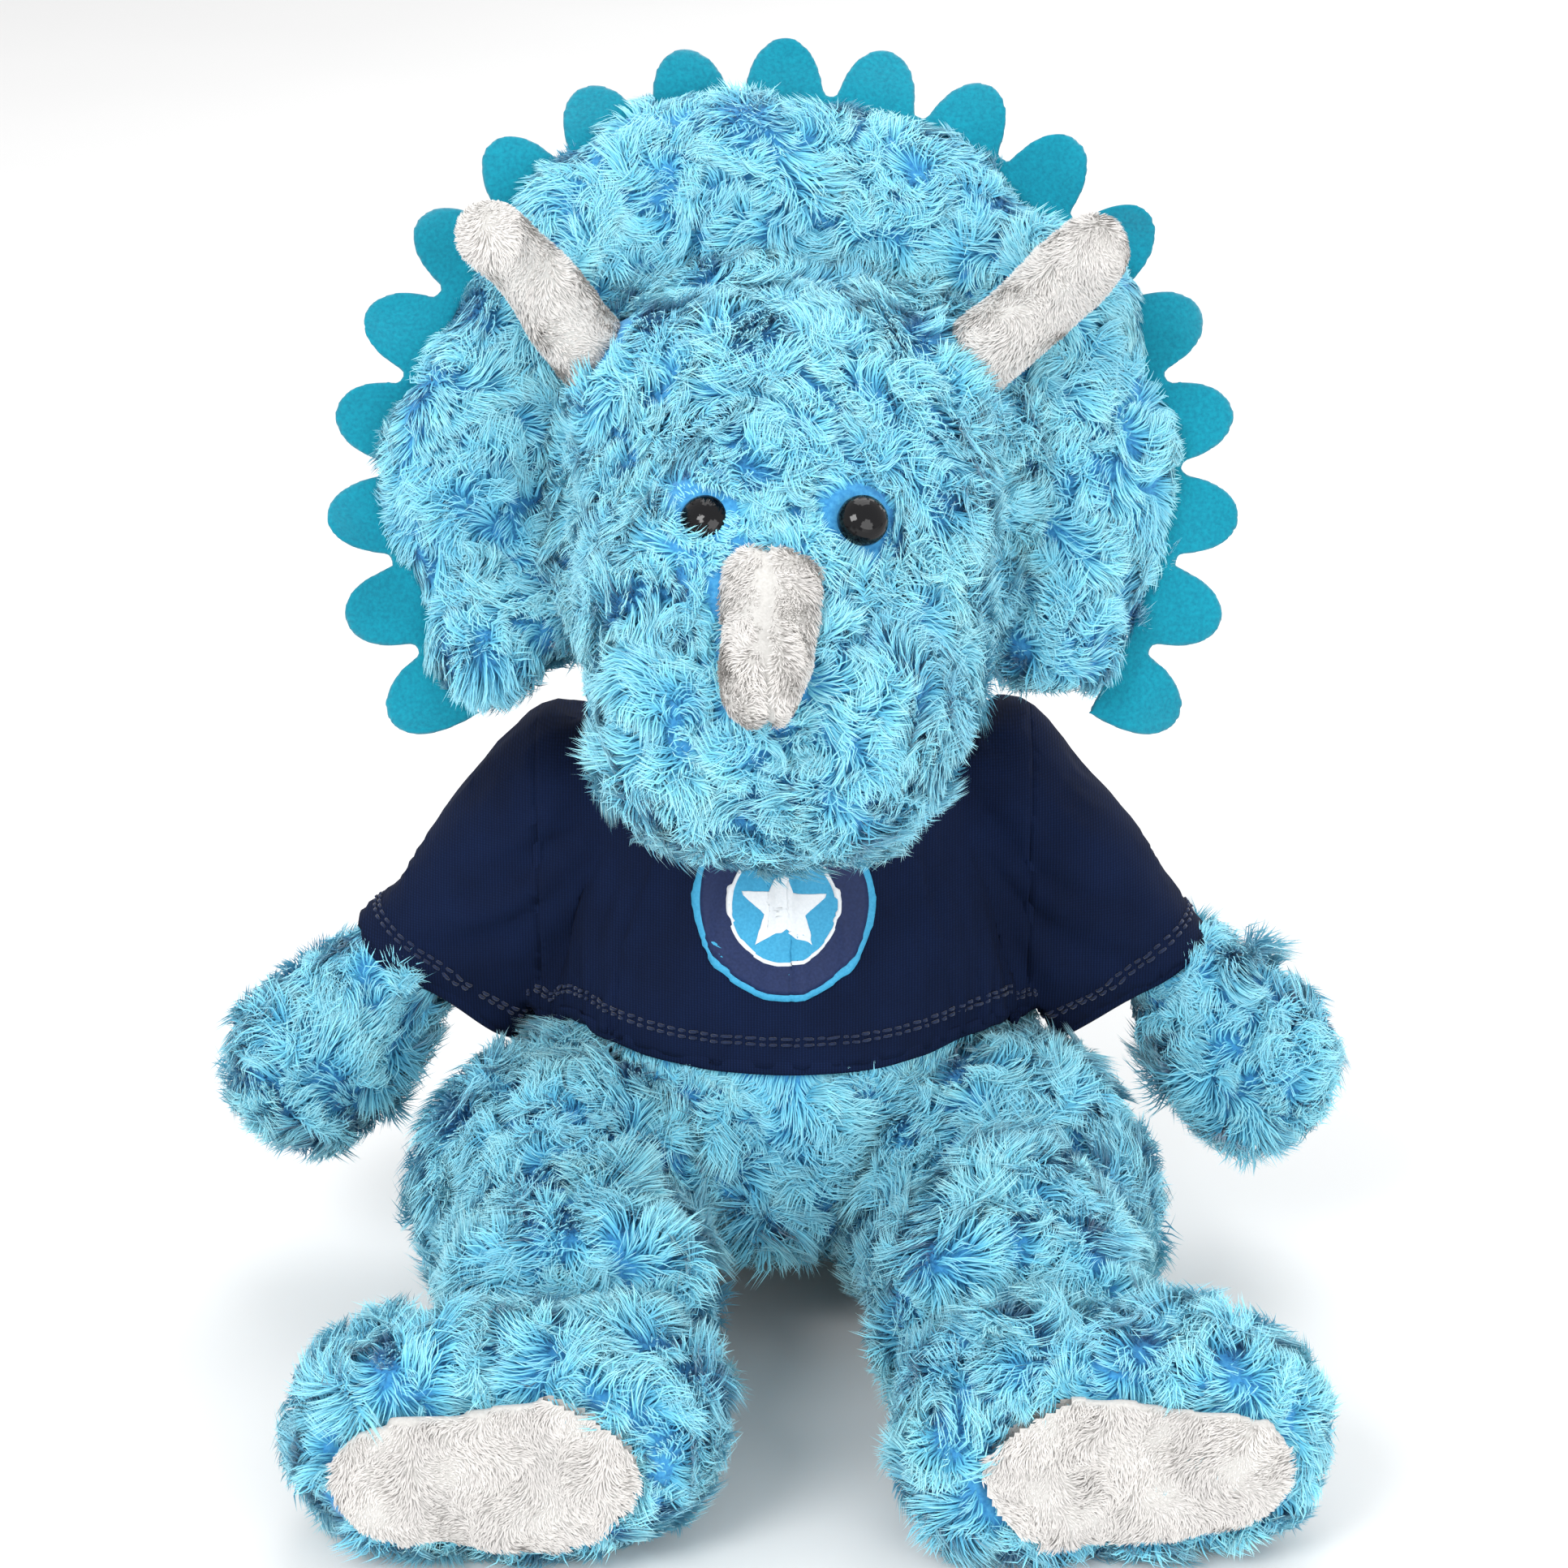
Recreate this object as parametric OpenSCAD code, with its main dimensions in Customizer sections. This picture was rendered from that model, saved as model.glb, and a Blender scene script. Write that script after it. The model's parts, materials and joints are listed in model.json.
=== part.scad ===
// Stuffed dinosaur: a seated plush triceratops with a T-shirt.
// Millimetres. +Z is up and the toy faces -Y. The origin is the middle of the flat
// patch that it sits on. Left and right are the sides at -X and +X.

/* [Fabric] */
// Thickness of the long plush, backing cloth and pressed pile together
plush_t = 4; // [3:0.5:6]
// Thickness of the short plush on the horns and soles
minky_t = 2; // [1:0.5:3]
// Thickness of the T-shirt jersey
jersey_t = 1.5; // [1:0.25:2.5]
// Thickness of the felt strip
felt_t = 2; // [1:0.5:3]
// Thickness of the badge film on the shirt
badge_t = 0.8; // [0.5:0.1:1.5]
// Play between a cover and the filling inside it
fill_gap = 0.3; // [0.2:0.1:0.5]
// Play between pieces that are sewn or laid against each other
sew_gap = 0.3; // [0.2:0.1:0.5]
// Play between a ball-shaped limb root and its seat
seat_gap = 0.4; // [0.3:0.1:0.8]

/* [Torso] */
// Radius of the belly at its widest
belly_r = 66; // [56:1:80]
// Height of the widest part of the belly
belly_z = 60; // [52:1:72]
// Height of the neck seam
neck_z = 166; // [150:1:190]
// Radius of the torso at the neck seam
neck_r = 29; // [25:1:34]
// Radius of the flat patch that the toy sits on
seat_r = 34; // [28:1:42]
// Radius of the ball of filling in the neck
neck_ball_r = 25; // [21:1:30]

/* [Pellet bag] */
// Radius of the bag of pellets in the seat
bag_r = 26; // [21:1:28]
// Height of the bag of pellets
bag_h = 26; // [18:1:34]

/* [T-shirt] */
// Height of the shirt hem above the seat
hem_z = 84; // [76:1:98]
// Drop from the neck seam to the shirt's top edge
neck_open = 8; // [6:1:10]
// Height of the rib collar
collar_h = 4; // [3:0.5:5]
// Thickness of the rib collar
collar_t = 2; // [1.5:0.5:3]
// Length of a sleeve from the shoulder centre to its hem
sleeve_len = 58; // [46:1:66]
// Diameter of the round badge
badge_d = 45; // [36:1:54]
// Height of the badge centre
badge_z = 124; // [105:1:130]

/* [Arms] */
// Drop from the neck seam to the shoulder centre
shoulder_drop = 28; // [24:1:34]
// How far the shoulder centre stands out of the torso
shoulder_out = 11; // [4:1:14]
// Radius of the ball at the shoulder
shoulder_r = 23; // [19:1:27]
// Radius of the wrist
wrist_r = 16.5; // [14:0.5:20]
// Radius of the hand
hand_r = 23.5; // [18:0.5:26]
// Distance from the shoulder centre to the hand centre
arm_len = 102; // [76:1:110]
// Angle of the arm out from straight down
arm_out = 40; // [33:1:46]
// Angle of the arm forward
arm_forward = 7; // [0:1:14]

/* [Legs] */
// Distance of each hip centre from the middle
hip_x = 54; // [52:1:65]
// How far the hip centre is in front of the torso axis
hip_forward = 44; // [38:1:52]
// Height of the hip centre
hip_z = 40.5; // [40.5:0.5:48]
// Radius of the ball at the hip
hip_r = 40; // [33:1:40]
// Radius of the leg at the ankle
leg_r = 31; // [26:1:34]
// Distance from the hip centre to the ankle seam
leg_len = 78; // [66:1:94]
// Angle by which the left leg turns in
left_leg_in = 4; // [0:1:5]
// Angle by which the right leg turns out
right_leg_out = 2; // [0:1:6]

/* [Feet] */
// Length of a foot from heel to toe
foot_len = 101; // [84:1:122]
// Radius of the foot at the heel
heel_r = 29.5; // [27:1:35]
// Radius of the foot at the toe
toe_r = 26; // [23:1:31]
// Distance from the foot axis forward to the sole
sole_reach = 22; // [18:1:24]
// Distance from the foot axis back to the ankle seam
ankle_reach = 24; // [20:1:25]

/* [Head] */
// How far the head centre is in front of the neck
head_forward = 30; // [24:1:36]
// How far the head centre is above the neck seam
head_up = 65; // [61:1:72]
// Radius of the head at the eyes and crown
cranium_r = 50; // [44:1:58]
// Radius of the muzzle
muzzle_r = 42; // [36:1:48]
// Distance from the head centre to the muzzle centre
muzzle_len = 68; // [58:1:80]
// Length of the round muzzle end
muzzle_round = 38; // [32:1:44]
// Width of the straight middle of the head
head_wide = 12; // [6:1:18]
// Angle by which the muzzle points down
head_pitch = 41; // [35:1:47]

/* [Frill] */
// Radial width of the padded frill
frill_w = 42; // [38:1:54]
// Thickness of the padded frill
frill_thick = 38; // [32:1:46]
// Angle by which the frill leans back
frill_tilt = 22; // [16:1:28]
// Distance of the frill behind the head centre
frill_behind = 20; // [16:1:24]
// How far the frill's centre is below the head centre, in its plane
frill_drop = 4; // [0:0.5:6]
// Angle below level at which the frill ends
frill_end = 32; // [26:1:39]
// Play between the frill and the head
frill_gap = 3; // [2.5:0.5:4]
// Width of a felt scallop
scallop_w = 20; // [16:1:22]
// Height of a felt scallop outside the plush
scallop_h = 12; // [12:1:18]
// Distance between felt scallops
scallop_pitch = 22.5; // [19:0.5:27]

/* [Horns] */
// Radius of a brow horn at its base
brow_horn_r = 10; // [8:0.5:12]
// Radius of a brow horn at its tip
brow_tip_r = 8.5; // [7:0.5:10]
// Length of a brow horn
brow_horn_len = 60; // [50:1:70]
// Distance of each brow horn's root from the middle
brow_x = 39; // [34:1:44]
// Height of the brow horn's root above the head centre
brow_up = 21; // [18:1:31]
// Angle of the left brow horn out from upright
left_horn_out = 35; // [22:1:36]
// Angle of the right brow horn out from upright
right_horn_out = 43; // [34:1:48]
// Angle of both brow horns forward
horn_forward = 13; // [8:1:18]
// Radius of the nose horn at its base
nose_horn_r = 13.5; // [11:0.5:15]
// Radius of the nose horn at its tip
nose_tip_r = 9; // [7:0.5:10]
// Length of the nose horn
nose_horn_len = 44; // [36:1:52]
// Angle by which the nose horn droops
nose_horn_droop = 22; // [15:1:30]
// Distance of the nose horn to the left of the middle
nose_horn_left = 3; // [0:0.5:4]
// Distance of the nose horn along the head from the head centre
nose_horn_at = 54; // [48:1:60]

/* [Eyes] */
// Diameter of an eye
eye_d = 12; // [10:0.5:14]
// Distance of each eye from the middle
eye_x = 18; // [15:1:22]
// Distance of the eyes along the head from the head centre
eye_at = 40; // [32:1:43]
// Radius of the eye's shank
shank_r = 2; // [1.5:0.25:2.5]
// Length of the eye's shank
shank_len = 12; // [10:1:15]
// Radius of the washer behind an eye
washer_r = 7; // [6:0.5:8]
// Thickness of the washer
washer_t = 1.5; // [1:0.25:2]

/* [Tail] */
// How far the tail's root is behind the torso axis
tail_back = 48; // [42:1:56]
// Height of the tail's root
tail_z = 27; // [26:1:33]
// Radius of the ball at the tail's root
tail_r = 25; // [21:1:26]
// Radius of the tail where it leaves the ball
tail_neck_r = 19; // [16:1:21]
// Radius of the tail's tip
tail_tip_r = 8; // [6:0.5:10]
// Length of the tail from its root to its tip
tail_len = 74; // [62:1:88]
// Angle by which the tail slopes down
tail_drop = 12; // [8:1:13]

/* [Movement] */
// How far a leg swings down
leg_down = 35; // [20:1:40]
// How far a leg swings up
leg_up = 25; // [15:1:30]
// How far the tail wags to each side
tail_wag = 20; // [10:1:25]

/* [Hidden] */
$fn = 64;
steps = 12;
eps = 0.01;
far = 400;
LEFT = -1;
RIGHT = 1;

plush_blue = "#7fc4e8";
pale_grey = "#e4e6ea";
navy = "#12204a";
teal = "#0a8fa8";
white_fill = "#f4f4f0";

// Places worked out from the sizes above
neck_at = [0, 0, neck_z];
shoulder_z = neck_z - shoulder_drop;
shoulder_x = torso_r(shoulder_z) + shoulder_out;
hip_y = -hip_forward;
head_at = neck_at + [0, -head_forward, head_up];
head_axis = [0, -cos(head_pitch), -sin(head_pitch)];
head_up_axis = [0, -sin(head_pitch), cos(head_pitch)];
frill_axis = [0, -cos(frill_tilt), sin(frill_tilt)];
frill_at = head_at - frill_behind * frill_axis;
frill_in_r = sqrt(pow(cranium_r, 2) - pow(frill_behind, 2)) + head_wide / 2 + frill_gap;
frill_out_r = frill_in_r + frill_w;
frill_mid_r = frill_in_r + frill_w / 2;
seam_z = felt_t / 2 + sew_gap;
shirt_in = sew_gap;
shirt_out = sew_gap + jersey_t;
shirt_top = neck_z - neck_open;
sleeve_r = shoulder_r + sew_gap + jersey_t;
armhole_r = sleeve_r + seat_gap;
ankle_y = -leg_len;
foot_y = ankle_y - sew_gap - ankle_reach;
sole_y = foot_y - sole_reach;
fill_in = plush_t + fill_gap;

// ---------- helpers ----------

function reversed(list) = [for (i = [len(list) - 1:-1:0]) list[i]];

// Points of a quarter or half turn of an oval, from angle a to angle b
function oval(centre, rx, ry, a, b, n = steps) =
  [for (i = [0:n]) centre + [rx * cos(a + (b - a) * i / n), ry * sin(a + (b - a) * i / n)]];

// A soft step from 0 to 1
function ease(s) = (1 - cos(180 * s)) / 2;

// Turns +Z onto the direction v
module aim(v) {
  rotate([0, acos(v[2] / norm(v)), atan2(v[1], v[0])]) children();
}

module revolve(outline) {
  rotate_extrude() polygon(outline);
}

// ---------- torso ----------

function torso_r(z) =
  z < belly_z
    ? seat_r + (belly_r - seat_r) * sqrt(1 - pow((belly_z - z) / belly_z, 2))
    : neck_r + (belly_r - neck_r) * pow(cos(90 * (z - belly_z) / (neck_z - belly_z)), 0.75);

// The torso's form, moved in by inset
module torso_form(inset) {
  low = inset;
  high = neck_z - inset;
  rings = 16;
  revolve(concat(
    [[0, low]],
    [for (i = [0:rings]) let (z = i * neck_z / rings) [torso_r(z) - inset, low + (high - low) * i / rings]],
    [[0, high]]));
}

// Room for the shoulder ball and for the arm at every swing
module armhole(side) {
  mouth = 50;
  arc = oval([0, 0], armhole_r, armhole_r, -90, -arm_out);
  rim = arc[steps];
  translate([side * shoulder_x, 0, shoulder_z]) rotate([0, side * 90, 0])
    revolve(concat(arc, [rim + [mouth / tan(arm_out), mouth], [0, rim[1] + mouth]]));
}

// Room for the hip ball and for the leg from its lowest to its highest place
module leg_bay(side) {
  translate([side * hip_x, hip_y, hip_z]) {
    sphere(hip_r + seat_gap);
    for (lift = [-leg_down, 0, leg_up])
      rotate([-lift, 0, side_turn(side)]) rotate([90, 0, 0])
        cylinder(h = leg_len, r = leg_r + seat_gap);
  }
}

module tail_bay() {
  translate([0, tail_back, tail_z]) {
    sphere(tail_r + seat_gap);
    for (wag = [-tail_wag, 0, tail_wag])
      rotate([0, 0, wag]) aim(tail_axis) cylinder(h = tail_len, r = tail_neck_r + seat_gap);
  }
}

module torso_bays() {
  for (side = [LEFT, RIGHT]) {
    armhole(side);
    leg_bay(side);
  }
  tail_bay();
  translate(neck_at) sphere(neck_ball_r + seat_gap);
}

module torso_skin() {
  color(plush_blue) difference() {
    torso_form(0);
    torso_form(plush_t);
    torso_bays();
  }
}

// The pellet bag's form, grown by a gap
module bag_form(gap) {
  bottom = fill_in - gap;
  revolve(concat([[0, bottom]], oval([0, bottom], bag_r + gap, bag_h + 2 * gap, 0, 90)));
}

module torso_stuffing() {
  color(white_fill) difference() {
    torso_form(fill_in);
    bag_form(fill_gap + eps);
    torso_bays();
  }
}

module seat_pellet_bag() {
  color("tan") bag_form(0);
}

// ---------- neck ----------

module neck_stuffing() {
  color(white_fill) translate(neck_at) sphere(neck_ball_r);
}

// ---------- T-shirt ----------

module shirt_form(out, low, high) {
  rings = 8;
  levels = [for (i = [0:rings]) low + (high - low) * i / rings];
  revolve(concat([[0, low]], [for (z = levels) [torso_r(z) + out, z]], [[0, high]]));
}

// One panel of the shirt body, on the side of the toy given by facing
module shirt_panel(facing) {
  difference() {
    shirt_form(shirt_out, hem_z, shirt_top);
    shirt_form(shirt_in, hem_z - eps, shirt_top + eps);
    translate([-far / 2, facing > 0 ? -far : -sew_gap / 2, 0])
      cube([far, far + (facing > 0 ? sew_gap / 2 : 0), far]);
    armhole(LEFT);
    armhole(RIGHT);
  }
}

module shirt_front() {
  color(navy) shirt_panel(-1);
}

module shirt_back() {
  color(navy) shirt_panel(1);
}

// A rib band that stands on the shirt's top edge
module shirt_collar() {
  r = torso_r(shirt_top) + shirt_in;
  bottom = shirt_top + sew_gap;
  color(navy) difference() {
    translate([0, 0, bottom]) cylinder(h = collar_h, r = r + collar_t);
    translate([0, 0, bottom - eps]) cylinder(h = collar_h + 2 * eps, r = r);
  }
}

// A plain round badge that follows the shirt's front
module shirt_badge() {
  color("white") intersection() {
    difference() {
      shirt_form(shirt_out + sew_gap + badge_t, hem_z + 1, shirt_top);
      shirt_form(shirt_out + sew_gap, hem_z, shirt_top + 1);
    }
    translate([0, 0, badge_z]) rotate([90, 0, 0]) cylinder(h = far, d = badge_d);
  }
}

// ---------- arms ----------

function arm_axis(side) =
  [side * sin(arm_out), -cos(arm_out) * sin(arm_forward), -cos(arm_out) * cos(arm_forward)];

hand_at = arm_len;
waist_at = sleeve_len;

// Radius of the arm at distance s from the shoulder centre
function arm_r(s) =
  s < waist_at
    ? sqrt(pow(shoulder_r, 2) - pow(min(s, 8), 2)) * (1 - ease(max(s - 8, 0) / (waist_at - 8)))
      + wrist_r * ease(max(s - 8, 0) / (waist_at - 8))
    : wrist_r + (hand_r - wrist_r) * ease(min((s - waist_at) / (hand_at - waist_at), 1));

module arm_form(inset) {
  revolve(concat(
    oval([0, 0], shoulder_r - inset, shoulder_r - inset, -90, 0),
    [for (i = [1:2 * steps]) let (s = i * hand_at / (2 * steps)) [arm_r(s) - inset, s]],
    [for (p = oval([0, hand_at], hand_r - inset, hand_r - inset, 0, 90)) if (p[1] > hand_at + 1) p]));
}

module place_arm(side) {
  translate([side * shoulder_x, 0, shoulder_z]) aim(arm_axis(side)) children();
}

module arm_skin(side) {
  color(plush_blue) place_arm(side) difference() {
    arm_form(0);
    arm_form(plush_t);
    translate([0, 0, -shoulder_r]) cylinder(h = shoulder_r, r = shoulder_r / 2);
  }
}

module arm_stuffing(side) {
  color(white_fill) place_arm(side) arm_form(fill_in);
}

// The sleeve covers the shoulder ball outside the armhole and the upper arm
module sleeve(side) {
  cap_from = -40;
  gap = sew_gap;
  outer = concat(
    oval([0, 0], sleeve_r, sleeve_r, cap_from, 0),
    [for (i = [1:steps]) let (s = i * sleeve_len / steps) [arm_r(s) + gap + jersey_t, s]]);
  inner = concat(
    oval([0, 0], shoulder_r + gap, shoulder_r + gap, cap_from, 0),
    [for (i = [1:steps]) let (s = i * sleeve_len / steps) [arm_r(s) + gap, s]]);
  color(navy) place_arm(side) revolve(concat(outer, reversed(inner)));
}

// ---------- legs ----------

function side_turn(side) = side == LEFT ? left_leg_in : right_leg_out;

module leg_form(inset, end) {
  start = sqrt(pow(hip_r, 2) - pow(leg_r, 2));
  from = asin(start / hip_r);
  revolve(concat(
    oval([0, 0], hip_r - inset, hip_r - inset, -90, from),
    [[leg_r - inset, end], [0, end]]));
}

// The leg's own frame: its axis is +Z and its sole side is far along it
module place_leg(side) {
  translate([side * hip_x, hip_y, hip_z]) rotate([0, 0, side_turn(side)]) children();
}

module leg_skin(side) {
  color(plush_blue) place_leg(side) rotate([90, 0, 0]) difference() {
    leg_form(0, leg_len);
    leg_form(plush_t, leg_len + 1);
    translate([0, 0, -hip_r]) cylinder(h = hip_r, r = hip_r / 2);
  }
}

module leg_stuffing(side) {
  color(white_fill) place_leg(side) rotate([90, 0, 0]) leg_form(fill_in, leg_len);
}

// ---------- feet ----------

// A foot lies with its heel to the inside and its toe to the outside
module foot_form(side, inset) {
  heel_at = 0;
  toe_at = foot_len - heel_r - toe_r;
  outline = concat(
    oval([0, heel_at], heel_r - inset, heel_r - inset, -90, 0),
    [for (i = [1:steps]) let (s = i / steps)
      [heel_r + (toe_r - heel_r) * ease(s) - inset, heel_at + (toe_at - heel_at) * s]],
    [for (p = oval([0, toe_at], toe_r - inset, toe_r - inset, 0, 90)) if (p[1] > toe_at + 1) p]);
  translate([side * (heel_r - leg_r), foot_y, heel_r - hip_z])
    rotate([0, side * 90, 0]) revolve(outline);
}

// The part of a foot between two distances from its axis, sole side negative
module foot_slice(side, inset, front, back) {
  intersection() {
    foot_form(side, inset);
    translate([-far / 2, foot_y + front, -far / 2]) cube([far, back - front, far]);
  }
}

module foot_skin(side) {
  pad_gap = minky_t + sew_gap;
  color(plush_blue) place_leg(side) difference() {
    foot_slice(side, 0, -sole_reach + pad_gap, ankle_reach);
    foot_slice(side, plush_t, -far, ankle_reach - plush_t);
    translate([0, foot_y, 0]) rotate([-90, 0, 0]) cylinder(h = far, r = leg_r / 2);
  }
}

module foot_stuffing(side) {
  pad_gap = minky_t + sew_gap;
  color(white_fill) place_leg(side)
    foot_slice(side, fill_in, -sole_reach + pad_gap, ankle_reach - fill_in);
}

module sole_pad(side) {
  color(pale_grey) place_leg(side) foot_slice(side, 0, -sole_reach, -sole_reach + minky_t);
}

// ---------- head ----------

// Radius of the head at distance t along its axis, moved in by inset
function head_r(t, inset = 0) =
  t < 0 ? sqrt(max(pow(cranium_r - inset, 2) - t * t, 0))
  : t < muzzle_len ? cranium_r - inset + (muzzle_r - cranium_r) * ease(t / muzzle_len)
  : (muzzle_r - inset) * sqrt(max(1 - pow((t - muzzle_len) / (muzzle_round - inset), 2), 0));

function head_outline(inset) = concat(
  oval([0, 0], cranium_r - inset, cranium_r - inset, -90, 0),
  [for (i = [1:steps]) let (t = i * muzzle_len / steps) [head_r(t, inset), t]],
  [for (p = oval([0, muzzle_len], muzzle_r - inset, muzzle_round - inset, 0, 90)) if (p[1] > muzzle_len + 1) p]);

// The head is a turned form, parted down the middle and widened by a straight band
module head_form(inset) {
  outline = head_outline(inset);
  full = concat(outline, reversed([for (p = outline) if (p[0] > eps) [-p[0], p[1]]]));
  translate(head_at) aim(head_axis) {
    for (turn = [0, 180])
      rotate([0, 0, turn]) translate([0, head_wide / 2, 0]) rotate_extrude(angle = 180) polygon(outline);
    rotate([90, 0, 0]) linear_extrude(head_wide, center = true) polygon(full);
  }
}

module head_skin() {
  color(plush_blue) difference() {
    head_form(0);
    head_form(plush_t);
    translate(neck_at) sphere(neck_ball_r + seat_gap);
    for (side = [LEFT, RIGHT]) place_eye(side)
      translate([0, 0, -2 * plush_t]) cylinder(h = 3 * plush_t, r = shank_r + sew_gap);
  }
}

module head_stuffing() {
  color(white_fill) difference() {
    head_form(fill_in);
    translate(neck_at) sphere(neck_ball_r + seat_gap);
    for (side = [LEFT, RIGHT]) place_eye(side)
      translate([0, 0, -shank_len - fill_gap]) cylinder(h = 2 * shank_len, r = washer_r + fill_gap);
  }
}

// ---------- eyes ----------

// Moves to an eye's place on the head, with +Z straight out of the head
module place_eye(side) {
  r = head_r(eye_at);
  around = asin((eye_x - head_wide / 2) / r);
  slope = atan(head_r(eye_at + 0.5) - head_r(eye_at - 0.5));
  outward = cos(around) * head_up_axis + [side * sin(around), 0, 0];
  translate(head_at + eye_at * head_axis + [side * head_wide / 2, 0, 0] + r * outward)
    aim(cos(slope) * outward - sin(slope) * head_axis) children();
}

module eye(side) {
  dome_h = eye_d * 0.4;
  color("black") place_eye(side) union() {
    revolve(concat([[0, sew_gap], [eye_d / 2, sew_gap]], oval([0, sew_gap + 1], eye_d / 2, dome_h, 0, 90)));
    translate([0, 0, sew_gap - shank_len]) cylinder(h = shank_len, r = shank_r);
  }
}

module eye_washer(side) {
  bulge = pow(washer_r, 2) / (2 * (muzzle_r - plush_t));
  top = -plush_t - bulge - sew_gap;
  color("white") place_eye(side) translate([0, 0, top - washer_t]) difference() {
    cylinder(h = washer_t, r = washer_r);
    translate([0, 0, -1]) cylinder(h = washer_t + 2, r = shank_r + 0.1);
  }
}

// ---------- horns ----------

module horn_form(base_r, tip_r, length, inset) {
  revolve(concat(
    [[0, 0], [base_r - inset, 0]],
    oval([0, length - tip_r], tip_r - inset, tip_r - inset, 0, 90)));
}

// A horn's cover, open at the root and cut to the head's surface
module horn_skin(place, direction, base_r, tip_r, length) {
  color(pale_grey) difference() {
    translate(place) aim(direction) difference() {
      horn_form(base_r, tip_r, length, 0);
      translate([0, 0, -eps]) horn_form(base_r, tip_r, length, minky_t);
    }
    head_form(-sew_gap);
  }
}

module horn_stuffing(place, direction, base_r, tip_r, length) {
  color(white_fill) difference() {
    translate(place) aim(direction) horn_form(base_r, tip_r, length, minky_t + fill_gap);
    head_form(-sew_gap);
  }
}

function brow_place(side) = head_at + [side * brow_x, 0, brow_up];

function brow_axis(side) =
  let (out = side == LEFT ? left_horn_out : right_horn_out)
  [side * sin(out), -cos(out) * sin(horn_forward), cos(out) * cos(horn_forward)];

nose_place = head_at - [nose_horn_left, 0, 0] + nose_horn_at * head_axis + (head_r(nose_horn_at) - 6) * head_up_axis;
nose_axis = [-sin(nose_horn_left), -cos(nose_horn_droop), -sin(nose_horn_droop)];

module brow_horn_skin(side) {
  horn_skin(brow_place(side), brow_axis(side), brow_horn_r, brow_tip_r, brow_horn_len);
}

module brow_horn_stuffing(side) {
  horn_stuffing(brow_place(side), brow_axis(side), brow_horn_r, brow_tip_r, brow_horn_len);
}

module nose_horn_skin() {
  horn_skin(nose_place, nose_axis, nose_horn_r, nose_tip_r, nose_horn_len);
}

module nose_horn_stuffing() {
  horn_stuffing(nose_place, nose_axis, nose_horn_r, nose_tip_r, nose_horn_len);
}

// ---------- frill ----------

// The frill's own frame: +Y is up in its plane and +Z is straight out of its front
module place_frill() {
  translate(frill_at) rotate([90 - frill_tilt, 0, 0]) translate([0, -frill_drop, 0]) children();
}

// The frill's section above level low, moved in by inset
function frill_section(low, inset) =
  oval([frill_mid_r, low], frill_w / 2 - inset, frill_thick / 2 - low - inset, 0, 180);

// A section swept over the top of the frill, from one end to the other
module frill_sweep(section, inset) {
  end = frill_end - inset / frill_mid_r * 180 / PI;
  rotate([0, 0, -end]) rotate_extrude(angle = 180 + 2 * end) polygon(section);
}

// One half of the frill's cover, open at the seam in the frill's plane
module frill_cover() {
  hollow = frill_section(seam_z, plush_t);
  difference() {
    frill_sweep(frill_section(seam_z, 0), 0);
    frill_sweep(concat(hollow, [hollow[steps] - [0, 1], hollow[0] - [0, 1]]), plush_t);
  }
}

module frill_front_skin() {
  color(plush_blue) place_frill() frill_cover();
}

module frill_back_skin() {
  color(plush_blue) place_frill() mirror([0, 0, 1]) frill_cover();
}

module frill_stuffing() {
  upper = frill_section(0, fill_in);
  lower = [for (i = [1:steps - 1]) [upper[steps - i][0], -upper[steps - i][1]]];
  color(white_fill) place_frill() frill_sweep(concat(upper, lower), fill_in);
}

// One scallop, pointing along +X from the frill's rim
module scallop() {
  root = frill_out_r - plush_t;
  polygon([for (a = [-90:10:90])
    [root + (plush_t + scallop_h) * pow(cos(a), 0.8), scallop_w / 2 * sin(a)]]);
}

// The strip is caught in the seam between the front and back covers
module frill_felt_strip() {
  root = frill_out_r - plush_t;
  rim = frill_out_r + 1;
  pitch_angle = scallop_pitch / frill_out_r * 180 / PI;
  count = floor((90 + frill_end) / pitch_angle);
  color(teal) place_frill() translate([0, 0, -felt_t / 2]) linear_extrude(felt_t) {
    polygon(concat(
      oval([0, 0], rim, rim, -frill_end, 180 + frill_end, 4 * steps),
      reversed(oval([0, 0], root, root, -frill_end, 180 + frill_end, 4 * steps))));
    for (i = [-count:count]) rotate(90 + i * pitch_angle) scallop();
  }
}

// ---------- tail ----------

tail_axis = [0, cos(tail_drop), -sin(tail_drop)];

module tail_form(inset) {
  leave = sqrt(pow(tail_r, 2) - pow(tail_neck_r, 2));
  revolve(concat(
    oval([0, 0], tail_r - inset, tail_r - inset, -90, asin(leave / tail_r)),
    oval([0, tail_len - tail_tip_r], tail_tip_r - inset, tail_tip_r - inset, 0, 90)));
}

module place_tail() {
  translate([0, tail_back, tail_z]) aim(tail_axis) children();
}

module tail_skin() {
  color(plush_blue) place_tail() difference() {
    tail_form(0);
    tail_form(plush_t);
    translate([0, 0, -tail_r]) cylinder(h = tail_r, r = tail_r / 2);
  }
}

module tail_stuffing() {
  color(white_fill) place_tail() tail_form(fill_in);
}

// ---------- nodes ----------

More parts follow.
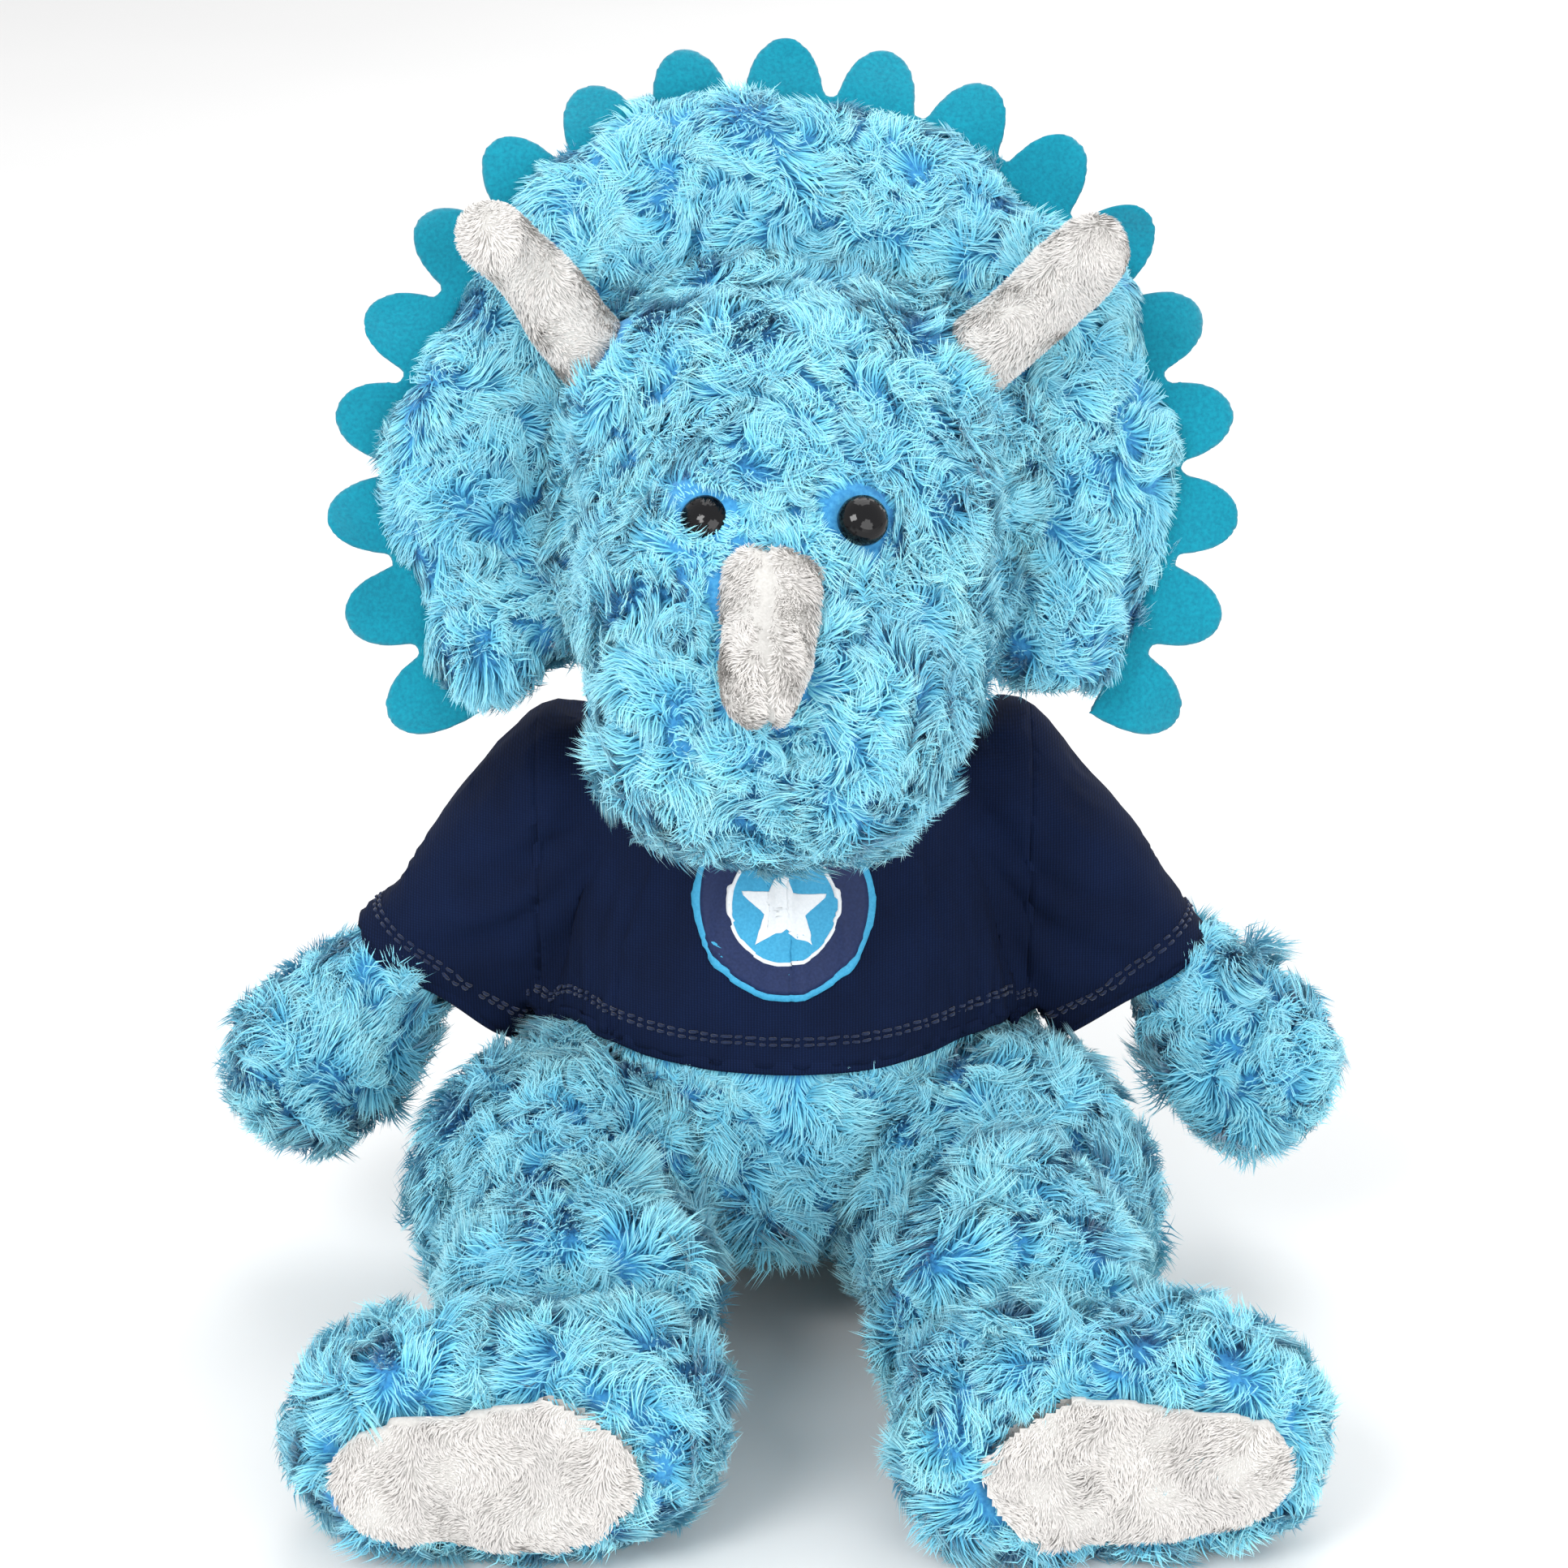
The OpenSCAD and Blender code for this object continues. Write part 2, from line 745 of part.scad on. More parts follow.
torso_skin();
torso_stuffing();
seat_pellet_bag();
shirt_front();
shirt_back();
shirt_collar();
shirt_badge();
neck_stuffing();
head_skin();
head_stuffing();
frill_front_skin();
frill_back_skin();
frill_stuffing();
frill_felt_strip();
brow_horn_skin(LEFT);  // left_brow_horn_skin
brow_horn_stuffing(LEFT);  // left_brow_horn_stuffing
brow_horn_skin(RIGHT);  // right_brow_horn_skin
brow_horn_stuffing(RIGHT);  // right_brow_horn_stuffing
nose_horn_skin();
nose_horn_stuffing();
eye(LEFT);  // left_eye
eye(RIGHT);  // right_eye
eye_washer(LEFT);  // left_eye_washer
eye_washer(RIGHT);  // right_eye_washer
arm_skin(LEFT);  // left_arm_skin
arm_stuffing(LEFT);  // left_arm_stuffing
sleeve(LEFT);  // left_sleeve
arm_skin(RIGHT);  // right_arm_skin
arm_stuffing(RIGHT);  // right_arm_stuffing
sleeve(RIGHT);  // right_sleeve
leg_skin(LEFT);  // left_leg_skin
leg_stuffing(LEFT);  // left_leg_stuffing
leg_skin(RIGHT);  // right_leg_skin
leg_stuffing(RIGHT);  // right_leg_stuffing
foot_skin(LEFT);  // left_foot_skin
foot_stuffing(LEFT);  // left_foot_stuffing
sole_pad(LEFT);  // left_sole_pad
foot_skin(RIGHT);  // right_foot_skin
foot_stuffing(RIGHT);  // right_foot_stuffing
sole_pad(RIGHT);  // right_sole_pad
tail_skin();
tail_stuffing();
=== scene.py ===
"""Stuffed dinosaur: plush pile, padded shapes and T-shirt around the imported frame.

Metres, +Z up, the toy faces -Y. Every place comes from the frame's own boxes and joints.
"""
import json
import math
from contextlib import contextmanager

import bmesh
import bpy
import numpy as np
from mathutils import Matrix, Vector
from mathutils.bvhtree import BVHTree
from mathutils.kdtree import KDTree


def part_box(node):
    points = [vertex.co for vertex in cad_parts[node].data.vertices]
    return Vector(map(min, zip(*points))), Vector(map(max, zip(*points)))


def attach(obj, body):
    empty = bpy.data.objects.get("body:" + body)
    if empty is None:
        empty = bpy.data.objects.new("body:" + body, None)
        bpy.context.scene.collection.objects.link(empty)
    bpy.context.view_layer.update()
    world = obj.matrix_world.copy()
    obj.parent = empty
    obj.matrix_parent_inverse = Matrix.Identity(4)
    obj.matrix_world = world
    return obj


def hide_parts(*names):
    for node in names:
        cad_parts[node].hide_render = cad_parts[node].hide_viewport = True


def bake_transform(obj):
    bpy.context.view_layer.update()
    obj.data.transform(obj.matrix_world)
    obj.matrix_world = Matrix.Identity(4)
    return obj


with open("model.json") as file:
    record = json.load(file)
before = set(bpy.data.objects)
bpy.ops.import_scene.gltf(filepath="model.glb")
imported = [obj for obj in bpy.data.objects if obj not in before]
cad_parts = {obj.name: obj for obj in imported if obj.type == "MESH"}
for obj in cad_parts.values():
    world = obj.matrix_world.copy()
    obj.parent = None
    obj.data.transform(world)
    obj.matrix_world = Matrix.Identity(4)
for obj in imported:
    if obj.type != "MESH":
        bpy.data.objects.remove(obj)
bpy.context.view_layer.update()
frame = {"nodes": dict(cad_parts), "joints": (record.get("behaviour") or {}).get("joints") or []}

MM = 0.001
SEED = 11
SIDES = ("left", "right")
STRANDS_PER_PIECE = 38000  # at five triangles each, a piece stays under 200,000
STRAND_SHADE = 0.55  # how far a strand's own normal shades it, beside the cloth's
DENSITY = 1.0

joints = {j["name"]: j for j in frame["joints"]}


def joint_place(name):
    return np.array(joints[name]["pos_m"])


def box_of(node):
    low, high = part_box(node)
    return np.array(low), np.array(high)


# ---- mesh tools


def unit(v):
    return v / np.maximum(np.linalg.norm(v, axis=-1, keepdims=True), 1e-12)


def smooth_step(values, low, high):
    """0 at low, 1 at high, and smooth between."""
    t = np.clip((values - low) / (high - low), 0, 1)
    return t * t * (3 - 2 * t)


def rotate_about(v, axis, angle):
    """Turns each vector about its own unit axis."""
    c, s = np.cos(angle)[:, None], np.sin(angle)[:, None]
    return v * c + np.cross(axis, v) * s + axis * (axis * v).sum(axis=1, keepdims=True) * (1 - c)


def linked(name, data):
    """A new object in the scene."""
    obj = bpy.data.objects.new(name, data)
    bpy.context.scene.collection.objects.link(obj)
    return obj


def new_object(name, verts, faces, material=None):
    mesh = bpy.data.meshes.new(name)
    mesh.from_pydata([tuple(v) for v in verts], [], [tuple(f) for f in faces])
    mesh.update()
    if material:
        mesh.materials.append(material)
    mesh.shade_smooth()
    return linked(name, mesh)


def grid_faces(rows, sides, closed=True):
    """Faces between rows of points round a shape. Closed joins the last row to the first."""
    faces = []
    for i in range(rows if closed else rows - 1):
        for k in range(sides):
            n, j = (k + 1) % sides, (i + 1) % rows
            faces.append((i * sides + k, i * sides + n, j * sides + n, j * sides + k))
    return faces


def values_of(items, key, width=3, kind=np.float64):
    values = np.empty(len(items) * width, dtype=kind)
    items.foreach_get(key, values)
    return values.reshape(-1, width)


def coords(mesh):
    return values_of(mesh.vertices, "co")


def normals(mesh):
    return values_of(mesh.vertices, "normal")


def set_coords(mesh, co):
    mesh.vertices.foreach_set("co", co.astype(np.float32).ravel())
    mesh.update()


def swell_by(mesh, distance):
    """Moves each point along its normal, by one distance or by one for each point."""
    distance = np.broadcast_to(distance, len(mesh.vertices))
    set_coords(mesh, coords(mesh) + distance[:, None] * normals(mesh))


@contextmanager
def opened(mesh, write=True):
    """The mesh as a BMesh, written back at the end."""
    bm = bmesh.new()
    bm.from_mesh(mesh)
    yield bm
    if write:
        bm.to_mesh(mesh)
    bm.free()


def relax(mesh, rounds, strength=0.5, hold_edges=False):
    """Evens out a mesh: each point moves towards the mean of its neighbours, but held edges stay."""
    co, ed = coords(mesh), values_of(mesh.edges, "vertices", 2, np.int64)
    moving = np.ones(len(co), dtype=bool)
    if hold_edges:
        with opened(mesh, write=False) as bm:
            for v in bm.verts:
                moving[v.index] = not v.is_boundary
    count = np.bincount(ed.ravel(), minlength=len(co)).reshape(-1, 1)
    for _ in range(rounds):
        total = np.zeros_like(co)
        np.add.at(total, ed[:, 0], co[ed[:, 1]])
        np.add.at(total, ed[:, 1], co[ed[:, 0]])
        step = strength * (total / np.maximum(count, 1) - co)
        co[moving] += step[moving]
    set_coords(mesh, co)


def applied(obj):
    """Puts an object's modifiers into its mesh."""
    graph = bpy.context.evaluated_depsgraph_get()
    mesh = bpy.data.meshes.new_from_object(obj.evaluated_get(graph))
    old = obj.data
    obj.modifiers.clear()
    obj.data = mesh
    bpy.data.meshes.remove(old)
    return obj


def largest_island(mesh):
    """Keeps the island of the mesh with the largest box."""
    with opened(mesh) as bm:
        seen, best, best_size = set(), set(), -1.0
        for start in bm.verts:
            if start in seen:
                continue
            island, stack = {start}, [start]
            while stack:
                v = stack.pop()
                for e in v.link_edges:
                    w = e.other_vert(v)
                    if w not in island:
                        island.add(w)
                        stack.append(w)
            seen |= island
            size = float(np.prod(np.ptp(np.array([v.co for v in island]), axis=0)))
            if size > best_size:
                best, best_size = island, size
        bmesh.ops.delete(bm, geom=[v for v in bm.verts if v not in best], context="VERTS")
    mesh.update()


def soft_form(name, nodes, voxel=2.5 * MM, rounds=8, swell=0.0):
    """One closed soft shape over several CAD solids: remeshed, smoothed and its outside kept."""
    verts, faces = [], []
    for node in nodes:
        mesh = frame["nodes"][node].data
        base = len(verts)
        verts += [v.co.copy() for v in mesh.vertices]
        faces += [[base + i for i in p.vertices] for p in mesh.polygons]
    obj = new_object(name, verts, faces)
    remesh = obj.modifiers.new("remesh", "REMESH")
    remesh.mode = "VOXEL"
    remesh.voxel_size = voxel
    applied(obj)
    largest_island(obj.data)
    relax(obj.data, rounds)
    if swell:
        swell_by(obj.data, swell)
    obj.data.shade_smooth()
    return obj


def drop_points(obj, chosen):
    """Removes the chosen points of a mesh, with their faces."""
    with opened(obj.data) as bm:
        bmesh.ops.delete(bm, geom=[v for v in bm.verts if chosen[v.index]], context="VERTS")


def cut_open(obj, place, normal, chosen=lambda middle: True):
    """Cuts a mesh along a plane and removes what lies beyond it, among the chosen faces."""
    with opened(obj.data) as bm:
        faces = [f for f in bm.faces if chosen(f.calc_center_median())]
        geom = list({v for f in faces for v in f.verts} | {e for f in faces for e in f.edges} | set(faces))
        bmesh.ops.bisect_plane(bm, geom=geom, plane_co=place, plane_no=normal)
        beyond = []
        for f in bm.faces:
            middle = f.calc_center_median()
            if chosen(middle) and (middle - Vector(place)).dot(Vector(normal)) > 0:
                beyond.append(f)
        bmesh.ops.delete(bm, geom=beyond, context="FACES")


def tree_of(obj):
    mesh = obj.data
    return BVHTree.FromPolygons([v.co for v in mesh.vertices], [tuple(p.vertices) for p in mesh.polygons])


def inside(tree, points):
    """Which points lie inside a closed shape: a ray from them crosses it an odd number of times."""
    way, step = Vector((0.36, 0.48, 0.8)), 1e-6
    out = np.zeros(len(points), dtype=bool)
    for i, p in enumerate(points):
        here = Vector(p)
        hit = tree.ray_cast(here, way)[0]
        while hit is not None:
            out[i] = not out[i]
            hit = tree.ray_cast(hit + step * way, way)[0]
    return out


def distance_to(tree, points):
    """Distance from each point to a shape, and the way straight away from it."""
    near = np.array([tree.find_nearest(Vector(p))[0] for p in points])
    away = points - near
    far = np.linalg.norm(away, axis=1)
    return far, away / np.maximum(far, 1e-9)[:, None]


def nearest_of(points, others):
    """The number of the other point nearest to each point."""
    tree = KDTree(len(others))
    for i, p in enumerate(others):
        tree.insert(p, i)
    tree.balance()
    return np.array([tree.find(p)[1] for p in points])


class Ripple:
    """Smooth seeded noise in space, from about -1 to 1, with bumps of a given size."""

    def __init__(self, size, seed, waves=14):
        rng = np.random.default_rng(seed)
        self.k = unit(rng.normal(size=(waves, 3))) * (2 * math.pi / size) * rng.uniform(0.6, 1.4, (waves, 1))
        self.phase = rng.uniform(0, 2 * math.pi, waves)
        self.gain = math.sqrt(2.0 / waves)

    def __call__(self, points):
        return self.gain * np.sin(points @ self.k.T + self.phase).sum(axis=1)


# ---- materials


def material(name, build):
    mat = bpy.data.materials.new(name)
    mat.use_nodes = True
    tree = mat.node_tree
    shader = next(n for n in tree.nodes if n.type == "BSDF_PRINCIPLED")
    build(tree, shader)
    return mat


def node(tree, kind, **values):
    made = tree.nodes.new(kind)
    for key, value in values.items():
        if key in made.inputs:
            made.inputs[key].default_value = value
        else:
            setattr(made, key, value)
    return made


def ramp(tree, stops, source):
    made = tree.nodes.new("ShaderNodeValToRGB")
    elements = made.color_ramp.elements
    while len(elements) < len(stops):
        elements.new(0.5)
    for element, (place, colour) in zip(elements, stops):
        element.position = place
        element.color = (*colour, 1)
    tree.links.new(source, made.inputs["Fac"])
    return made.outputs["Color"]


def noise(tree, scale, detail=3.0):
    where = tree.nodes.new("ShaderNodeTexCoord")
    made = node(tree, "ShaderNodeTexNoise", Scale=scale, Detail=detail)
    tree.links.new(where.outputs["Object"], made.inputs["Vector"])
    return made.outputs["Fac"]


def bump(tree, shader, height, distance, strength=0.6):
    made = node(tree, "ShaderNodeBump", Strength=strength, Distance=distance)
    tree.links.new(height, made.inputs["Height"])
    tree.links.new(made.outputs["Normal"], shader.inputs["Normal"])


def mixed(tree, blend, factor, a, b):
    made = tree.nodes.new("ShaderNodeMix")
    made.data_type = "RGBA"
    made.blend_type = blend
    made.inputs[0].default_value = factor
    tree.links.new(a, made.inputs[6])
    tree.links.new(b, made.inputs[7])
    return made.outputs[2]


def pile_material(name, along, tones, roughness=0.72):
    """Pile: colour runs along each strand, with painted shade towards the root, and its lock's tint lightens
    or darkens it.
    """

    def build(tree, shader):
        height = node(tree, "ShaderNodeAttribute", attribute_name="pile").outputs["Fac"]
        tint = node(tree, "ShaderNodeAttribute", attribute_name="tint").outputs["Fac"]
        base = ramp(tree, along, height)
        tone = ramp(tree, tones, tint)
        tree.links.new(mixed(tree, "MULTIPLY", 1.0, base, tone), shader.inputs["Base Color"])
        shader.inputs["Roughness"].default_value = roughness
        shader.inputs["Sheen Weight"].default_value = 0.25
        shader.inputs["Sheen Roughness"].default_value = 0.5
        shader.inputs["Specular IOR Level"].default_value = 0.2

    return material(name, build)


def cloth_material(name, dark, light, scale, depth, roughness, sheen):
    """Cloth mottled between two colours, finely and in broad patches."""

    def build(tree, shader):
        fine = noise(tree, scale)
        broad = noise(tree, scale / 40)
        colour = ramp(tree, [(0.3, dark), (0.7, light)], fine)
        shade = ramp(tree, [(0.3, (0.86, 0.86, 0.86)), (0.7, (1, 1, 1))], broad)
        tree.links.new(mixed(tree, "MULTIPLY", 1.0, colour, shade), shader.inputs["Base Color"])
        shader.inputs["Roughness"].default_value = roughness
        shader.inputs["Sheen Weight"].default_value = sheen
        shader.inputs["Specular IOR Level"].default_value = 0.2
        bump(tree, shader, fine, depth)

    return material(name, build)


def jersey_material(name, dark, light):
    """Fine knit: rows of ribs with small loops across them."""

    def build(tree, shader):
        where = tree.nodes.new("ShaderNodeTexCoord").outputs["Object"]
        ribs = node(tree, "ShaderNodeTexWave", Scale=420.0, Distortion=1.2, Detail=2.0)
        ribs.bands_direction = "X"
        loops = node(tree, "ShaderNodeTexWave", Scale=520.0, Distortion=1.5, Detail=2.0)
        loops.bands_direction = "Z"
        for wave in (ribs, loops):
            tree.links.new(where, wave.inputs["Vector"])
        knit = mixed(tree, "MULTIPLY", 0.6, ribs.outputs["Color"], loops.outputs["Color"])
        colour = ramp(tree, [(0.0, dark), (1.0, light)], knit)
        worn = ramp(tree, [(0.35, (0.8, 0.8, 0.8)), (0.7, (1.1, 1.1, 1.1))], noise(tree, 60.0))
        tree.links.new(mixed(tree, "MULTIPLY", 1.0, colour, worn), shader.inputs["Base Color"])
        shader.inputs["Roughness"].default_value = 0.9
        shader.inputs["Specular IOR Level"].default_value = 0.12
        bump(tree, shader, knit, 0.15 * MM, 0.5)

    return material(name, build)


def plastic_material(name, colour, roughness, coat, specular):
    """Moulded plastic with a finely worn gloss."""

    def build(tree, shader):
        wear = noise(tree, 900.0)
        rough = node(tree, "ShaderNodeMapRange")
        rough.inputs["To Min"].default_value = roughness
        rough.inputs["To Max"].default_value = roughness + 0.05
        tree.links.new(wear, rough.inputs["Value"])
        tree.links.new(rough.outputs["Result"], shader.inputs["Roughness"])
        shader.inputs["Base Color"].default_value = (*colour, 1)
        shader.inputs["Coat Weight"].default_value = coat
        shader.inputs["Coat Roughness"].default_value = 0.03
        shader.inputs["Specular IOR Level"].default_value = specular

    return material(name, build)


# Blue pile: painted shade at each strand's root, painted highlight at its tip.
BLUE_PILE = pile_material(
    "blue_pile",
    [(0.0, (0.02, 0.21, 0.44)), (0.3, (0.08, 0.41, 0.63)),
     (0.65, (0.19, 0.59, 0.74)), (1.0, (0.38, 0.75, 0.84))],
    [(0.0, (0.78, 0.88, 0.95)), (0.5, (1.0, 1.0, 1.0)), (1.0, (1.3, 1.12, 1.03))],
)
# Pale pile: painted shade, darker towards each strand's root.
PALE_PILE = pile_material(
    "pale_pile",
    [(0.0, (0.46, 0.45, 0.43)), (0.5, (0.63, 0.61, 0.59)), (1.0, (0.74, 0.72, 0.69))],
    [(0.0, (0.86, 0.86, 0.87)), (1.0, (1.08, 1.08, 1.08))],
)
BLUE_BACKING = cloth_material("blue_backing", (0.03, 0.22, 0.50), (0.07, 0.36, 0.66),
                              scale=900.0, depth=0.3 * MM, roughness=0.9, sheen=0.2)
PALE_BACKING = cloth_material("pale_backing", (0.50, 0.49, 0.47), (0.60, 0.59, 0.57),
                              scale=1400.0, depth=0.2 * MM, roughness=0.9, sheen=0.3)
FELT = cloth_material("felt", (0.0, 0.18, 0.27), (0.001, 0.26, 0.36),
                      scale=1100.0, depth=0.25 * MM, roughness=0.95, sheen=0.35)
JERSEY = jersey_material("navy_jersey", (0.002, 0.006, 0.024), (0.005, 0.013, 0.048))
RIB = jersey_material("navy_rib", (0.002, 0.006, 0.024), (0.006, 0.015, 0.055))
THREAD = cloth_material("thread", (0.005, 0.012, 0.040), (0.010, 0.022, 0.07),
                        scale=3000.0, depth=0.1 * MM, roughness=0.7, sheen=0.2)
EYE_BLACK = plastic_material("eye_black", (0.002, 0.002, 0.003), roughness=0.04, coat=0.0, specular=0.3)
NYLON = plastic_material("white_nylon", (0.8, 0.8, 0.78), roughness=0.4, coat=0.0, specular=0.5)
FILM = dict(scale=1500.0, depth=0.08 * MM, roughness=0.6, sheen=0.0)
BADGE_WHITE = cloth_material("badge_white", (0.74, 0.77, 0.80), (0.82, 0.84, 0.86), **FILM)
BADGE_BLUE = cloth_material("badge_blue", (0.04, 0.30, 0.52), (0.06, 0.38, 0.62), **FILM)
BADGE_NAVY = cloth_material("badge_navy", (0.01, 0.02, 0.07), (0.016, 0.03, 0.10), **FILM)

# ---- pile


def pile_roots(form, per_mm2, rng, keep):
    """Random points over a form's faces, where keep(points, normals) allows: places and normals."""
    mesh = form.data
    mesh.calc_loop_triangles()
    tri = values_of(mesh.loop_triangles, "vertices", 3, np.int64)
    co, no = coords(mesh), normals(mesh)
    allowed = keep(co, no)
    tri = tri[allowed[tri].all(axis=1)]
    a, b, c = co[tri[:, 0]], co[tri[:, 1]], co[tri[:, 2]]
    area = np.linalg.norm(np.cross(b - a, c - a), axis=1) / 2
    total = int(area.sum() / MM**2 * per_mm2)
    pick = rng.choice(len(tri), size=total, p=area / area.sum())
    u, v = rng.random(total), rng.random(total)
    flip = u + v > 1
    u[flip], v[flip] = 1 - u[flip], 1 - v[flip]
    w = np.stack([1 - u - v, u, v], axis=1)[:, :, None]
    chosen = tri[pick]
    return (co[chosen] * w).sum(axis=1), unit((no[chosen] * w).sum(axis=1))


def strand_paths(root, normal, length, lie, curl, lean, free, steps=3, flattened=0.85):
    """Rows of points along each strand: it rises, leans over and curls round as it grows.

    Where the pile isn't free, the strand is flattened towards its last lean from the root on.
    """
    rows, here = [root], root
    for i in range(steps):
        s = (i + 0.5) / steps
        flat = rotate_about(lie, normal, curl * s)
        tilt = lean[0] + (lean[1] - lean[0]) * s
        tilt = tilt + flattened * (1 - free) * (lean[1] - tilt)
        way = flat * np.sin(tilt)[:, None] + normal * np.cos(tilt)[:, None]
        here = here + (length / steps)[:, None] * way
        rows.append(here)
    return np.stack(rows)


def ribbons(name, rows, normal, width, twist, tint, mat):
    """A mesh of tapered ribbons, one along each strand.

    Each strand is one short line of the OFBake UV map: its tint goes across and its height up.
    """
    steps, count = rows.shape[0], rows.shape[1]
    taper = (0.8, 1.0, 0.75)
    uv_edge, uv_half = 0.01, 0.004
    verts = np.empty((count, 2 * (steps - 1) + 1, 3), dtype=np.float32)
    along = np.empty((count, 2 * (steps - 1) + 1), dtype=np.float32)
    for i in range(steps - 1):
        run = unit(rows[i + 1] - rows[max(i - 1, 0)])
        side = unit(np.cross(run, normal))
        side = rotate_about(side, run, twist)
        half = (width * taper[i] / 2)[:, None] * side
        verts[:, 2 * i] = rows[i] - half
        verts[:, 2 * i + 1] = rows[i] + half
        along[:, 2 * i : 2 * i + 2] = i / (steps - 1)
    verts[:, -1] = rows[-1]
    along[:, -1] = 1.0
    per = verts.shape[1]
    pattern, starts = [], []
    for i in range(steps - 2):
        starts.append(len(pattern))
        pattern += [2 * i, 2 * i + 1, 2 * i + 3, 2 * i + 2]
    starts.append(len(pattern))
    pattern += [2 * steps - 4, 2 * steps - 3, per - 1]
    offset = np.arange(count)[:, None] * per
    loops = (np.array(pattern)[None] + offset).astype(np.int32).ravel()
    loop_start = (np.array(starts)[None] + np.arange(count)[:, None] * len(pattern)).astype(np.int32).ravel()

    mesh = bpy.data.meshes.new(name)
    mesh.vertices.add(count * per)
    mesh.vertices.foreach_set("co", verts.ravel())
    mesh.loops.add(len(loops))
    mesh.loops.foreach_set("vertex_index", loops)
    mesh.polygons.add(len(loop_start))
    mesh.polygons.foreach_set("loop_start", loop_start)
    tint_all = np.repeat(tint.astype(np.float32), per)
    for key, values in (("pile", along.ravel()), ("tint", tint_all)):
        mesh.attributes.new(key, "FLOAT", "POINT").data.foreach_set("value", values)
    across = np.tile(np.array([-1, 1] * (steps - 1) + [0], dtype=np.float32), count) * uv_half
    spread = 1 - 2 * uv_edge
    uv = np.stack([uv_edge + spread * tint_all + across, uv_edge + spread * along.ravel()], axis=1)
    mesh.uv_layers.new(name="OFBake").data.foreach_set("uv", uv[loops].astype(np.float32).ravel())
    mesh.update(calc_edges=True)
    mesh.shade_smooth()
    soft = unit(normals(mesh) * STRAND_SHADE + np.repeat(normal, per, axis=0))
    mesh.attributes.new("custom_normal", "FLOAT_VECTOR", "POINT").data.foreach_set(
        "vector", soft.astype(np.float32).ravel())
    mesh.materials.append(mat)
    return linked(name, mesh)


def combed_to(direction):
    """A flow that is combed one way everywhere."""

    def flow(points):
        return np.tile(np.array(direction, dtype=float), (len(points), 1)), np.ones(len(points))

    return flow


DOWNWARD = combed_to((0, 0, -1))
FLOOR_CLEAR = 0.4 * MM
# How far the strands differ from each other.
COMB_SCATTER, TURN_SCATTER, BEND_SCATTER, TWIST_SCATTER = 0.15, 0.22, 0.25, 0.55
LENGTHS, WIDTHS, PULLS = (0.75, 1.12), (0.7, 1.25), (0.7, 1.15)
LOCK_TINT, PATCH_TINT, STRAND_TINT = 0.13, 0.12, 0.07


def grow_pile(name, form, keep, flow=DOWNWARD, seed=0, per_mm2=2.1, length=12.0 * MM, width=0.46 * MM,
              swirl=2.6, swirl_size=30 * MM, lock=3.8 * MM, gather=0.5, curl=1.7, lean=(0.55, 1.4),
              mat=BLUE_PILE, slot="blue_plush", sink=1.0 * MM):
    """Covers a form with swirled locks of pile, where keep(points, normals) allows, and returns the pieces.

    flow(points) gives the way the pile is combed at each point, and how free it is: 0 lies flat and short
    that way, 1 swirls.
    """
    rng = np.random.default_rng(SEED + seed)
    root, normal = pile_roots(form, per_mm2 * DENSITY, rng, keep)
    root = root - sink * normal
    count = len(root)
    way, free = flow(root)
    combed = way + COMB_SCATTER * rng.normal(size=(count, 3))
    lie = unit(combed - normal * (combed * normal).sum(axis=1, keepdims=True))
    turn = swirl * Ripple(swirl_size, SEED + 1)(root)
    turn = turn + swirl * 0.45 * Ripple(swirl_size * 0.45, SEED + 2)(root)
    lie = rotate_about(lie, normal, free * turn + TURN_SCATTER * rng.normal(size=count))
    bend = free * curl * Ripple(swirl_size * 0.8, SEED + 3)(root) + BEND_SCATTER * rng.normal(size=count)
    long = length * (1 + 0.2 * Ripple(18 * MM, SEED + 4)(root)) * rng.uniform(*LENGTHS, count)
    long *= 0.6 + 0.4 * free
    rows = strand_paths(root, normal, long, lie, bend, lean, free)

    centre_count = max(8, int(count / (per_mm2 * DENSITY) / (lock / MM) ** 2))
    leaders = rng.choice(count, size=min(centre_count, count), replace=False)
    follow = leaders[nearest_of(root, root[leaders])]
    rows[:, :, 2] = np.maximum(rows[:, :, 2], FLOOR_CLEAR)
    for i in range(1, len(rows)):
        pull = gather * (i / (len(rows) - 1)) ** 1.3 * rng.uniform(*PULLS, count)
        spread = (root - root[follow]) * 0.12
        rows[i] += np.clip(pull, 0, 0.95)[:, None] * (rows[i][follow] + spread - rows[i])

    lock_tint = np.zeros(count)
    lock_tint[leaders] = rng.normal(size=len(leaders))
    tint = 0.5 + LOCK_TINT * lock_tint[follow] + PATCH_TINT * Ripple(26 * MM, SEED + 5)(root)
    tint = np.clip(tint + STRAND_TINT * rng.normal(size=count), 0, 1)
    twist = rng.normal(size=count) * TWIST_SCATTER
    wide = width * rng.uniform(*WIDTHS, count) / math.sqrt(DENSITY)

    order = np.argsort(root[:, 1])
    parts = max(1, math.ceil(count / STRANDS_PER_PIECE))
    made = []
    for i, chosen in enumerate(np.array_split(order, parts)):
        piece = ribbons(f"{name}_{i + 1}" if parts > 1 else name, rows[:, chosen], normal[chosen],
                        wide[chosen], twist[chosen], tint[chosen], mat)
        made.append(piece)
    return made


def outside_of(points, *trees, margin=0.0):
    """Points that lie outside the shapes by more than margin, or inside by less than -margin."""
    allowed = np.ones(len(points), dtype=bool)
    for tree in trees:
        far = distance_to(tree, points)[0]
        depth = np.where(inside(tree, points), far, -far)
        allowed &= depth < -margin
    return allowed


# ---- padded shapes

# The pile's tips reach the CAD surface, so the cloth under it lies this much deeper.
SINK = {"head": 5.5 * MM, "frill": 2.0 * MM, "torso": 3.0 * MM,
        "tail": 2.0 * MM, "arm": 4.0 * MM, "leg": 1.5 * MM}

